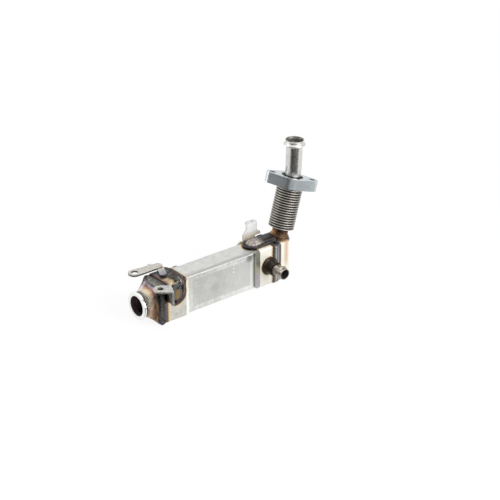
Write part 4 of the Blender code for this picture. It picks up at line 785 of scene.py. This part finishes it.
# %% Cone
cone_x = np.linspace(-GAP, NECK_STATION, 15)
cone_station = np.concatenate([cone_x, cone_x[::-1]])[:, None]
cone_grow = np.concatenate([np.zeros(15), np.full(15, -SHEET)])[:, None]
cone_grid = front_skin(cone_station + np.zeros((1, 4 * PER_QUARTER)), cone_grow)
cone_bore = np.broadcast_to((cone_grow < 0), cone_grid.shape[:2])
add_piece("cone", cone_grid, cone_sheet, ["inlet_cone"], marks={"bore": cone_bore}, flatten=False)

# %% Inlet sleeve
taper = np.array([(0.0, 0.0), (0.0, 0.0), (42.0, 0.0), (44.0, -0.5), (47.0, -1.4), (47.0, -1.6)]) * MM
sleeve_station = np.concatenate([taper[1:, 0], taper[[-1, 0], 0]])[:, None]
sleeve_grow = np.concatenate([taper[1:, 1], [-SHEET, -SHEET]])[:, None]
sleeve_grid = front_skin(sleeve_station + np.zeros((1, 4 * PER_QUARTER)), sleeve_grow)
sleeve_bore = np.zeros(sleeve_grid.shape[:2])
add_piece("front_sleeve", sleeve_grid, front_sheet, ["inlet_sleeve"], marks={"bore": sleeve_bore})

# %% [markdown]
# A hand-laid weld bead is a row of overlapping puddles. Across the bead each is a flat hump, and
# along it the puddles show as ripples that trail at the edges like fish scales. So the height is
# half an ellipse across, times one plus a cosine along, whose phase lags with the square of the
# way across. A slow sum of sines makes the bead wander, as a hand does.


# %% Rippled beads
def wander(along, seed, share):
    """A slow wobble round 1: three sines with whole numbers of waves and drawn phases."""
    draw = np.random.default_rng(seed)
    waves = np.array([3, 7, 13])[:, None]
    phase = draw.uniform(0, 2 * np.pi, (3, 1))
    size = np.array([0.5, 0.3, 0.2])[:, None]
    return 1 + share * (size * np.sin(2 * np.pi * waves * along.ravel() + phase)).sum(0).reshape(along.shape)


def bead_height(along, across, ripples, seed):
    """sqrt(1-w^2), times the ripple 1 + 0.16*cos(2pi*n*s - 2.2*w^2), times the hand's wander."""
    hump = np.sqrt(np.clip(1 - across ** 2, 0, 1))
    ripple = 1 + 0.16 * np.cos(2 * np.pi * ripples * along - 2.2 * across ** 2)
    return hump * ripple * wander(along, seed, 0.22)


BEAD_ACROSS = np.sin(np.linspace(-np.pi / 2, np.pi / 2, 11))[:, None]


def loop_share(points):
    """How far round a closed loop of points each one lies, from 0 to 1 by length."""
    step = np.linalg.norm(np.roll(points, -1, 0) - points, axis=1)
    return (np.concatenate([[0.0], np.cumsum(step)[:-1]]) / step.sum())[None, :]


def dense(values, times):
    """Values round a closed loop, drawn out to more places by straight steps between neighbours."""
    count = len(values)
    place = np.arange(count * times) / times
    whole = place.astype(int) % count
    part = (place % 1).reshape(-1, *([1] * (values.ndim - 1)))
    return values[whole] * (1 - part) + values[(whole + 1) % count] * part


def set_outline_density(times):
    """Make the body's outline finer or coarser for the next skins."""
    global BODY_PLACES, BODY_OUT, CIRCLE_OUT
    places, out = outline(WIDTH, HEIGHT, EDGE_RADIUS)
    turn = np.radians(90 * ((SIDE_PARTS + 1) / 2 + np.arange(4 * PER_QUARTER * times) / times) / PER_QUARTER)
    BODY_PLACES, BODY_OUT = dense(places, times), dense(out, times)
    CIRCLE_OUT = np.stack([np.cos(turn), np.sin(turn)], -1)


set_outline_density(4)
share = loop_share(BODY_PLACES)
across = BEAD_ACROSS
seam_x = 0.5 * MM + 4.5 * MM * across * wander(share, 3, 0.12)
seam_rise = GAP + 1.15 * MM * bead_height(share, across, 78, 4)
seam_top = front_skin(seam_x, np.minimum(seam_rise, 1.4 * MM))
seam_low = front_skin(seam_x[::-1], GAP + 0 * seam_x)
add_piece("seam_bead_front", np.concatenate([seam_top, seam_low[1:-1]]), seam_finish, ["inlet_seam_weld"],
          flatten=False)

neck_x = NECK_STATION + 2.5 * MM * across
neck_swell = np.where(neck_x < NECK_STATION, (NECK_STATION - neck_x) * 0.854, 0.0)
neck_rise = GAP + neck_swell + 1.3 * MM * bead_height(share, across, 48, 8)
neck_top = front_skin(neck_x + 0 * share, neck_rise)
neck_low = front_skin(neck_x[::-1] + 0 * share, GAP + neck_swell[::-1] + 0 * share)
add_piece("neck_bead", np.concatenate([neck_top, neck_low[1:-1]]), neck_finish, ["inlet_neck_weld"],
          flatten=False)


# %% [markdown]
# The other beads run along open paths over the body: in a half ring round the saddle plate, and
# round the foot of the hood. Such a bead is built on a centre line with two directions at each
# place, one across the bead and one up from the sheet: place = line + w*half*across + h*up.


# %% Beads along a path
def path_bead(name, line, across, up, half, rise, ripples, seed, nodes, finish=None):
    """A bead on a path of places with its across and up directions. Both ends taper to a point."""
    share = np.linspace(0, 1, len(line))[None, :]
    w = BEAD_ACROSS
    taper = np.clip(np.minimum(share, 1 - share) / 0.03, 0.04, 1) ** 0.5
    reach = half * w * taper * wander(share, seed, 0.14)
    height = rise * bead_height(share, w, ripples, seed + 1) * taper / 1.16
    top = line + reach[..., None] * across + np.maximum(height, 0)[..., None] * up
    low = line + reach[::-1][..., None] * across
    grid = np.concatenate([top, low[1:-1]]).transpose(1, 0, 2)
    return add_piece(name, grid, finish or bead_finish, nodes, closed=False, flatten=False)


def joined(*parts):
    """Several stretches of a path as one, with the doubled places between them left out."""
    return np.concatenate([parts[0]] + [part[1:] for part in parts[1:]])


def saddle_path(radius, sheet, count=60):
    """From below the lobe on the near side, up, over the top and down the far side."""
    half_width, top = WIDTH / 2 + sheet, HEIGHT + sheet
    r = EDGE_RADIUS + sheet
    turn = np.radians(np.linspace(-100, 0, count))
    ring_x, ring_z = LOBE[0] + radius * np.cos(turn), LOBE[1] + radius * np.sin(turn)
    face = np.stack([ring_x, np.full(count, -half_width), ring_z], -1)
    face_across = np.stack([np.cos(turn), 0 * turn, np.sin(turn)], -1)
    face_up = np.tile((0.0, -1.0, 0.0), (count, 1))
    x = LOBE[0] + radius
    rise_z = np.linspace(LOBE[1], top - r, 24)
    wall = np.stack([np.full(24, x), np.full(24, -half_width), rise_z], -1)
    bend = np.radians(np.linspace(180, 90, 12))
    corner = np.stack([np.full(12, x), -half_width + r + r * np.cos(bend), top - r + r * np.sin(bend)], -1)
    corner_up = np.stack([0 * bend, np.cos(bend), np.sin(bend)], -1)
    roof_y = np.linspace(-half_width + r, 0, 24)
    roof = np.stack([np.full(24, x), roof_y, np.full(24, top)], -1)
    line = joined(face, wall, corner, roof)
    ahead = (1.0, 0.0, 0.0)
    across = joined(face_across, np.tile(ahead, (24, 1)), np.tile(ahead, (12, 1)), np.tile(ahead, (24, 1)))
    up = joined(face_up, np.tile((0.0, -1.0, 0.0), (24, 1)), corner_up, np.tile((0.0, 0.0, 1.0), (24, 1)))
    step = np.linalg.norm(np.diff(line, axis=0), axis=1)
    run = np.concatenate([[0.0], np.cumsum(step)])
    corner_run = run[count + 22 + 6]
    line[:, 0] -= 3.0 * MM * np.exp(-(((run - corner_run) / (8 * MM)) ** 2))
    mirror = np.array([1.0, -1.0, 1.0])
    return (np.concatenate([values, (values * mirror)[::-1][1:]]) for values in (line, across, up))


def finer(values, times):
    """Values along an open path, drawn out to more places."""
    place = np.linspace(0, len(values) - 1, (len(values) - 1) * times + 1)
    whole = np.minimum(place.astype(int), len(values) - 2)
    part = (place - whole)[:, None]
    return values[whole] * (1 - part) + values[whole + 1] * part


line, across_way, up_way = (finer(v, 2) for v in saddle_path(13.9 * MM, GAP))
path_bead("saddle_bead", line, across_way, up_way, 3.6 * MM, 2.6 * MM, 52, 21, ["saddle_weld"])

# %% [markdown]
# The end tank's seam runs up both sides of the body, and another bead follows the foot of the
# hood. The side bead leaves room for the flare of the coolant boss, so its near edge gives way
# there to the boss's circle.

# %% Seam of the end tank and foot of the hood
hood_half = 10.0 * MM
hood_front = 178.0 * MM
hood_shift = 2.0 * MM
first_top = int(np.argmin(np.abs(BODY_PLACES[:, 0] - hood_shift + hood_half + 4.2 * MM) + 9 * (BODY_PLACES[:, 1] < 0)))
last_top = int(np.argmin(np.abs(BODY_PLACES[:, 0] - hood_shift - hood_half - 4.2 * MM) + 9 * (BODY_PLACES[:, 1] < 0)))
order = np.arange(first_top, last_top + len(BODY_PLACES)) % len(BODY_PLACES)
side_out = np.stack([np.zeros(len(order)), BODY_OUT[order, 0], BODY_OUT[order, 1]], -1)
side_line = np.stack([np.full(len(order), SEAM_STATION), BODY_PLACES[order, 0],
                      HEIGHT / 2 + BODY_PLACES[order, 1]], -1) + GAP * side_out
w = BEAD_ACROSS
share = np.linspace(0, 1, len(order))[None, :]
near = np.where(side_line[:, 1] < 0, np.clip((13.9 * MM) ** 2 - (side_line[:, 2] - BOSS_FRONT[1]) ** 2, 0, None), 0)
left_edge = np.maximum(SEAM_STATION - 5.0 * MM, np.where(near > 0, BOSS_FRONT[0] + np.sqrt(near), 0))[None, :]
right_edge = SEAM_STATION + 5.0 * MM + 0 * left_edge
middle_x, half_x = (left_edge + right_edge) / 2, (right_edge - left_edge) / 2
seam_x = middle_x + w * half_x * wander(share, 31, 0.05)
height = np.minimum(1.25 * MM * bead_height(share, w, 70, 32) / 1.16, 1.08 * MM)
top = np.stack([seam_x, 0 * seam_x + side_line[:, 1], 0 * seam_x + side_line[:, 2]], -1) + height[..., None] * side_out
low = np.stack([seam_x, 0 * seam_x + side_line[:, 1], 0 * seam_x + side_line[:, 2]], -1)[::-1]
grid = np.concatenate([top, low[1:-1]]).transpose(1, 0, 2)
add_piece("seam_bead_rear", grid, rear_bead_finish, ["outlet_seam_weld"], closed=False, flatten=False)

turn = np.radians(np.linspace(90, 270, 70))
straight_x = np.linspace(SEAM_STATION + 5.0 * MM, hood_front, 60)
bow_radius = hood_half + 1.95 * MM
bow = np.stack([hood_front + bow_radius * np.cos(turn), bow_radius * np.sin(turn)], -1)
flat = joined(np.stack([straight_x, np.full(60, bow_radius)], -1), bow,
              np.stack([straight_x[::-1], np.full(60, -bow_radius)], -1))
flat_out = joined(np.tile((0.0, 1.0), (60, 1)), np.stack([np.cos(turn), np.sin(turn)], -1), np.tile((0.0, -1.0), (60, 1)))
hood_line = np.column_stack([flat + (0.0, hood_shift), np.full(len(flat), HEIGHT + GAP)])
hood_across = np.column_stack([flat_out, np.zeros(len(flat))])
hood_up = np.tile((0.0, 0.0, 1.0), (len(flat), 1))
path_bead("hood_bead", finer(hood_line, 3), finer(hood_across, 3), finer(hood_up, 3), 1.9 * MM, 2.3 * MM, 44, 41,
          ["outlet_seam_weld"], rear_bead_finish)

# %% [markdown]
# The stub, the bellows and the hose tube share one leaning axis. A bellows is a thin wall whose
# radius swings between root and crest. A plain cosine looks like a worm; squeezing it through
# tanh gives the flat flanks and tight crests of a formed fold. The mark "crest" tells the finish
# where the wall stands proud.

# %% Stub and the bellows
stub = soften(np.array([(10.6, 17.0), (10.6, -2.0), (9.2, -2.0), (9.2, 17.0)]) * MM, 0.4 * MM)
stub_grid = turn_profile(stub, along_outlet(0), OUTLET_AXIS)
stub_bore = np.repeat((stub[:, 0] < 9.6 * MM)[:, None], stub_grid.shape[1], 1)
add_piece("stub", stub_grid, rear_sheet, ["outlet_stub"], marks={"bore": stub_bore})

FOLDS = 17
PITCH = 3.7 * MM
ROOT, CREST = 16.0 * MM, 19.3 * MM
fold_start = 13.2 * MM
phase = np.linspace(0, FOLDS, FOLDS * 12 + 1)
swing = np.tanh(1.9 * np.cos(2 * np.pi * (phase - 0.5))) / np.tanh(1.9)
wave_r = (ROOT + CREST) / 2 + (CREST - ROOT) / 2 * swing
wave_h = fold_start + phase * PITCH
crest_mark = (swing + 1) / 2
fold_end = fold_start + FOLDS * PITCH
outer = np.column_stack([wave_r, wave_h])
inner = np.column_stack([wave_r - 0.55 * MM, wave_h])[::-1]
lower_cuff = np.array([(11.8, 12.95), (11.8, 12.0), (10.9, 12.0), (10.9, 13.7)]) * MM
upper_cuff = np.array([(12.3, fold_end / MM - 0.5), (12.3, fold_end / MM + 0.3), (13.2, fold_end / MM + 0.3),
                       (13.2, fold_end / MM + 0.25)]) * MM
profile = np.concatenate([outer, upper_cuff[::-1], inner, lower_cuff[::-1]])
marks = np.concatenate([crest_mark, np.full(4, 0.5), np.zeros(len(inner)), np.full(4, 0.5)])
bellows_grid = turn_profile(profile, along_outlet(0), OUTLET_AXIS, 84)
add_piece("bellows_wall", bellows_grid, bellows_finish, ["bellows"],
          marks={"crest": np.repeat(marks[:, None], 84, 1)}, flatten=False)

# %% [markdown]
# The hose tube goes straight through the flange, bends by a few degrees and ends in a rolled bead
# and a flared rim. It is a profile of distance and radius carried along a line that is straight,
# then an arc, then straight again.


# %% Hose tube
def hose_place(distance):
    """Places and side directions of the tube's centre line at distances from the flange's foot."""
    start, length, last = 16.0 * MM, 12.0 * MM, math.radians(2.0)
    bend = LEAN - last
    lean = LEAN - bend * np.clip((distance - start) / length, 0, 1)
    foot = along_outlet(fold_end + 0.6 * MM)
    place = foot + np.minimum(distance, start)[:, None] * OUTLET_AXIS
    radius = length / bend
    place[:, 0] += radius * (np.cos(lean) - np.cos(LEAN))
    place[:, 2] += radius * (np.sin(LEAN) - np.sin(lean))
    beyond = np.maximum(distance - start - length, 0)
    place += beyond[:, None] * np.column_stack([np.sin(lean), 0 * lean, np.cos(lean)])
    return place, np.column_stack([np.cos(lean), 0 * lean, -np.sin(lean)])


outer_line = np.array([(-6, 12), (10, 12), (16, 12), (19, 12), (22, 12), (25, 12), (28, 12), (40, 12), (62.6, 12),
                       (63.4, 13.6), (64.4, 15.6), (65.4, 16.0), (66.4, 15.6), (67.4, 13.8), (68.0, 13.1),
                       (69.2, 13.0), (70.4, 13.5), (72, 14.1)]) * MM
inner_line = outer_line[::-1] - (0.0, 1.3 * MM)
inner_line[:, 1] = np.minimum(inner_line[:, 1], np.where(inner_line[:, 0] < 68.2 * MM, 11.7 * MM, 1.0))
tube_profile = soften(np.concatenate([outer_line, inner_line]), 0.5 * MM, 3)
place, side = hose_place(tube_profile[:, 0])
turn = np.linspace(0, 2 * np.pi, 96, endpoint=False)[None, :, None]
radius = tube_profile[:, 1][:, None, None]
tube_grid = place[:, None] + radius * (np.cos(turn) * side[:, None] + np.sin(turn) * np.array([0.0, 1.0, 0.0]))
half_count = len(tube_profile) // 2
inner_side = np.arange(len(tube_profile)) > half_count + 1
tube_bore = np.repeat((inner_side * np.where(tube_profile[:, 0] > 69.5 * MM, 1.0, 0.55))[:, None], 96, 1)
add_piece("hose_tube", tube_grid, tube_finish, ["outlet_tube"], marks={"bore": tube_bore})

# %% Profile for a bead at the stub's foot, which no piece uses
stub_top, stub_inner = 11.7, 10.9
stub_bead = soften(np.array([(stub_inner + 0.5, stub_top), (stub_inner + 1.0, 10.7), (stub_inner + 1.0, 6.5),
                             (stub_inner + 2.5, 4.6), (stub_inner + 3.2, 3.4), (stub_inner, 3.4),
                             (stub_inner, stub_top)]) * MM, 0.5 * MM)
print("stub bead profile:", len(stub_bead))

# %% [markdown]
# Coolant runs in and out through two nipples for hoses. Each stands in a flared boss and has a
# rolled bead near its end, which keeps the hose clip from slipping off.

# %% Coolant nipples and their bosses
boss = soften(np.array([(9.9, 15.5), (10.7, 14.7), (10.7, 3.4), (13.4, 1.13), (13.4, 0.0), (8.7, 0.0), (8.7, 15.5)]) * MM,
              0.9 * MM, 5)
seats = {
    "front": (BOSS_FRONT, -1.0, WIDTH / 2 + GAP),
    "rear": (BOSS_REAR, 1.0, WIDTH / 2 - JACKET_INSET - 0.7 * MM + GAP),
}
for label, (centre, way, seat) in seats.items():
    foot = np.array([centre[0], way * seat, centre[1]])
    root = (WIDTH / 2 - JACKET_INSET - 1.4 * MM - seat) / MM
    nipple = soften(np.array([
        (8.4, 35.0), (8.4, 30.4), (9.2, 29.6), (10.1, 28.7), (10.3, 27.9), (10.1, 27.1), (9.2, 26.2), (8.4, 25.4),
        (8.4, 20.0), (8.4, root), (7.0, root), (7.0, 35.0)]) * MM, 0.6 * MM, 4)
    boss_grid = turn_profile(boss, foot, (0.0, way, 0.0), 72)
    nipple_grid = turn_profile(nipple, foot, (0.0, way, 0.0), 72)
    bore = np.repeat((nipple[:, 0] < 7.3 * MM)[:, None], 72, 1)
    add_piece("boss_" + label, boss_grid, boss_finish, ["coolant_boss_" + label],
              marks={"bore": np.zeros(boss_grid.shape[:2])})
    add_piece("nipple_" + label, nipple_grid, nipple_finish, ["coolant_nipple_" + label],
              marks={"bore": bore})


# %% [markdown]
# Flat pressed parts already have their shape in the solids: plates with holes, bars, the hooded
# tank. What they lack is the light of real sheet, whose edges are rounded and whose bends are
# smooth. So each is copied, its loose triangles are merged, flat faces are joined up, a fine bevel
# rounds the edges, and normals are evened so that flats stay flat.


# %% Sheet parts with rounded edges
def smooth_copy(name, node, finish, bevel=0.0, segments=2, limit=38):
    """A merged copy of a CAD node's mesh with rounded edges, which stands for the node."""
    import bmesh
    shape = bmesh.new()
    shape.from_mesh(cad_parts[node].data)
    bmesh.ops.remove_doubles(shape, verts=shape.verts, dist=2e-6)
    bmesh.ops.dissolve_limit(shape, angle_limit=math.radians(0.5), verts=shape.verts, edges=shape.edges)
    mesh = bpy.data.meshes.new(name)
    shape.to_mesh(mesh)
    shape.free()
    piece = dress(name, mesh, finish, [node], flatten=False)
    if bevel:
        edge = piece.modifiers.new("Rounded edges", "BEVEL")
        edge.width = bevel
        edge.segments = segments
        edge.limit_method = "ANGLE"
        edge.angle_limit = math.radians(limit)
        edge.harden_normals = True
    even = piece.modifiers.new("Even light on flats", "WEIGHTED_NORMAL")
    even.keep_sharp = True
    return piece


smooth_copy("jacket_skin", "jacket", jacket_sheet)
smooth_copy("rear_sleeve", "outlet_sleeve", rear_sheet)
smooth_copy("hooded_tank", "end_tank", rear_sheet)
smooth_copy("saddle", "saddle_plate", saddle_sheet, 0.4 * MM)
smooth_copy("bar_front", "side_bar_front", bar_sheet)
smooth_copy("bar_rear", "side_bar_rear", rear_sheet)
smooth_copy("stub_bead", "stub_weld", stub_bead_finish)
smooth_copy("flange", "outlet_flange", cast_finish, 0.6 * MM, 3)
smooth_copy("strap_with_eye", "eye_bracket", strap_finish, 0.5 * MM, 3)
smooth_copy("tab_with_leg", "nut_bracket", tab_finish, 0.5 * MM, 3)
smooth_copy("weld_nut", "bracket_nut", bead_finish, 0.4 * MM)
smooth_copy("upright_bracket", "post_bracket", post_finish, 0.5 * MM, 3)

# %% Inner pieces keep their solids
for name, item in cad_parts.items():
    if name.startswith(("gas_", "header_")):
        item.data.materials.clear()
        item.data.materials.append(core_finish)

# %% [markdown]
# The stage is a pale floor under soft light: an even white surround and three soft lamps. The
# white of the background is the surround's and the floor's own, at strength 1, and metal sees it
# too, so the lamps can stay low and the colours stay as written.

# %% Floor and surround
def flat_sheet(name, corners, height):
    """A flat stage sheet through corners (x, y) in metres at one height."""
    mesh = bpy.data.meshes.new(name)
    mesh.from_pydata([(x, y, height) for x, y in corners], [], [tuple(range(len(corners)))])
    item = bpy.data.objects.new(name, mesh)
    bpy.context.scene.collection.objects.link(item)
    return item


def seen_directly(tree):
    """1 for what the camera sees, straight or in metal or glass, and 0 for light that only bounces."""
    light_path = tree.nodes.new("ShaderNodeLightPath")
    total = light_path.outputs["Is Camera Ray"]
    for label in ("Is Glossy Ray", "Is Transmission Ray"):
        add = tree.nodes.new("ShaderNodeMath")
        add.operation = "MAXIMUM"
        tree.links.new(total, add.inputs[0])
        tree.links.new(light_path.outputs[label], add.inputs[1])
        total = add.outputs[0]
    return total


REACH = 12.0
floor = flat_sheet("floor", [(-REACH, -REACH), (REACH, -REACH), (REACH, REACH), (-REACH, REACH)], 0.0)
floor_finish = bpy.data.materials.new("pale_floor")
floor_finish.use_nodes = True
floor_tree = floor_finish.node_tree
floor_shader = floor_tree.nodes["Principled BSDF"]
floor_shader.inputs["Base Color"].default_value = (0.62, 0.62, 0.62, 1)
floor_shader.inputs["Roughness"].default_value = 0.9
floor_shader.inputs["Specular IOR Level"].default_value = 0.0
glow = floor_tree.nodes.new("ShaderNodeEmission")
glow.inputs["Strength"].default_value = 1.26
from_middle = floor_tree.nodes.new("ShaderNodeVectorMath")
from_middle.operation = "LENGTH"
floor_tree.links.new(floor_tree.nodes.new("ShaderNodeTexCoord").outputs["Object"], from_middle.inputs[0])
further = floor_tree.nodes.new("ShaderNodeMapRange")
for socket, value in zip(further.inputs[1:5], (0.6, 2.2, 0.70, 0.81)):
    socket.default_value = value
floor_tree.links.new(from_middle.outputs["Value"], further.inputs["Value"])
glow_share = floor_tree.nodes.new("ShaderNodeMath")
glow_share.operation = "MULTIPLY"
floor_tree.links.new(further.outputs["Result"], glow_share.inputs[1])
floor_tree.links.new(seen_directly(floor_tree), glow_share.inputs[0])
mixed = floor_tree.nodes.new("ShaderNodeMixShader")
floor_tree.links.new(glow_share.outputs[0], mixed.inputs[0])
floor_tree.links.new(floor_shader.outputs[0], mixed.inputs[1])
floor_tree.links.new(glow.outputs[0], mixed.inputs[2])
floor_tree.links.new(mixed.outputs[0], floor_tree.nodes["Material Output"].inputs["Surface"])
floor.data.materials.append(floor_finish)

world = bpy.data.worlds.new("surround")
bpy.context.scene.world = world
world.use_nodes = True
world_tree = world.node_tree
background = world_tree.nodes["Background"]
background.inputs["Color"].default_value = (1, 1, 1, 1)
level = world_tree.nodes.new("ShaderNodeMapRange")
level.inputs["To Min"].default_value = 0.24
level.inputs["To Max"].default_value = 1.0
world_tree.links.new(seen_directly(world_tree), level.inputs["Value"])
world_tree.links.new(level.outputs["Result"], background.inputs["Strength"])

# %% [markdown]
# Shiny round parts only look round when something dark stands in their reflection. Photographers
# lay a dark card on the table in front of them, outside the picture. It is left out of what the
# camera sees and casts no shadow, so that the floor stays pale from every side.

# %% Dark card in front, and three soft lamps
card_places = [
    (-1.3, -0.02, 0.001), (-0.16, -0.02, 0.001), (-0.12, -0.13, 0.001), (0.0, -0.13, 0.001), (0.2, -0.26, 0.001),
    (0.8, -1.2, 0.001), (-1.3, -1.2, 0.001), (-1.3, -1.2, 0.6), (-1.3, 0.45, 0.6), (-1.3, 0.45, 0.001),
]
card_mesh = bpy.data.meshes.new("dark_card")
card_mesh.from_pydata(card_places, [], [(0, 1, 2, 3, 4, 5, 6), (6, 7, 8, 9, 0)])
card = bpy.data.objects.new("dark_card", card_mesh)
bpy.context.scene.collection.objects.link(card)
card.visible_camera = False
card.visible_shadow = False
card.visible_diffuse = False
card_finish = bpy.data.materials.new("dark_card")
card_finish.use_nodes = True
card_finish.node_tree.nodes["Principled BSDF"].inputs["Base Color"].default_value = (0.03, 0.03, 0.03, 1)
card_finish.node_tree.nodes["Principled BSDF"].inputs["Roughness"].default_value = 1.0
card_finish.node_tree.nodes["Principled BSDF"].inputs["Specular IOR Level"].default_value = 0.0
card.data.materials.append(card_finish)


def soft_lamp(name, azimuth, elevation, far, size, share):
    """A square soft lamp that looks at the object and lights a face towards it to a share of full white:
    power = (pi * distance)^2 * share."""
    turn, lift = math.radians(azimuth), math.radians(elevation)
    way = Vector((math.cos(lift) * math.cos(turn), math.cos(lift) * math.sin(turn), math.sin(lift)))
    lamp = bpy.data.lights.new(name, "AREA")
    lamp.size = size
    lamp.energy = (math.pi * far) ** 2 * share
    item = bpy.data.objects.new(name, lamp)
    bpy.context.scene.collection.objects.link(item)
    item.location = way * far
    item.rotation_euler = way.to_track_quat("Z", "Y").to_euler()
    item.visible_camera = False
    return lamp.energy


lamp_powers = [
    soft_lamp("top_softbox", 60, 78, 1.6, 1.6, 0.20),
    soft_lamp("right_softbox", -74, 25, 1.6, 1.3, 0.86),
    soft_lamp("left_softbox", 138, 24, 1.6, 1.2, 0.30),
]
print("lamp powers in watts:", [round(power, 1) for power in lamp_powers])

# %% [markdown]
# The camera stands in front, to the left and above, as the photograph's did. Its three directions
# and its place were worked out from the straight edges of the body, which all run to their own
# vanishing points.

# %% Camera
right = Vector((0.7788, -0.6273, 0.0)).normalized()
forward = Vector((0.5602, 0.6955, -0.4501)).normalized()
upward = right.cross(forward)
place = (134.364 * right + 97.471 * upward - 2176.5 * forward) * MM
camera = bpy.data.cameras.new("camera")
camera.sensor_width = 36
camera.lens = 1554 / 500 * camera.sensor_width
camera_item = bpy.data.objects.new("camera", camera)
bpy.context.scene.collection.objects.link(camera_item)
camera_item.matrix_world = Matrix.Translation(place + Vector(BASE)) @ Matrix((right, upward, -forward)).transposed().to_4x4()
bpy.context.scene.camera = camera_item
bpy.context.scene.view_settings.view_transform = "Standard"
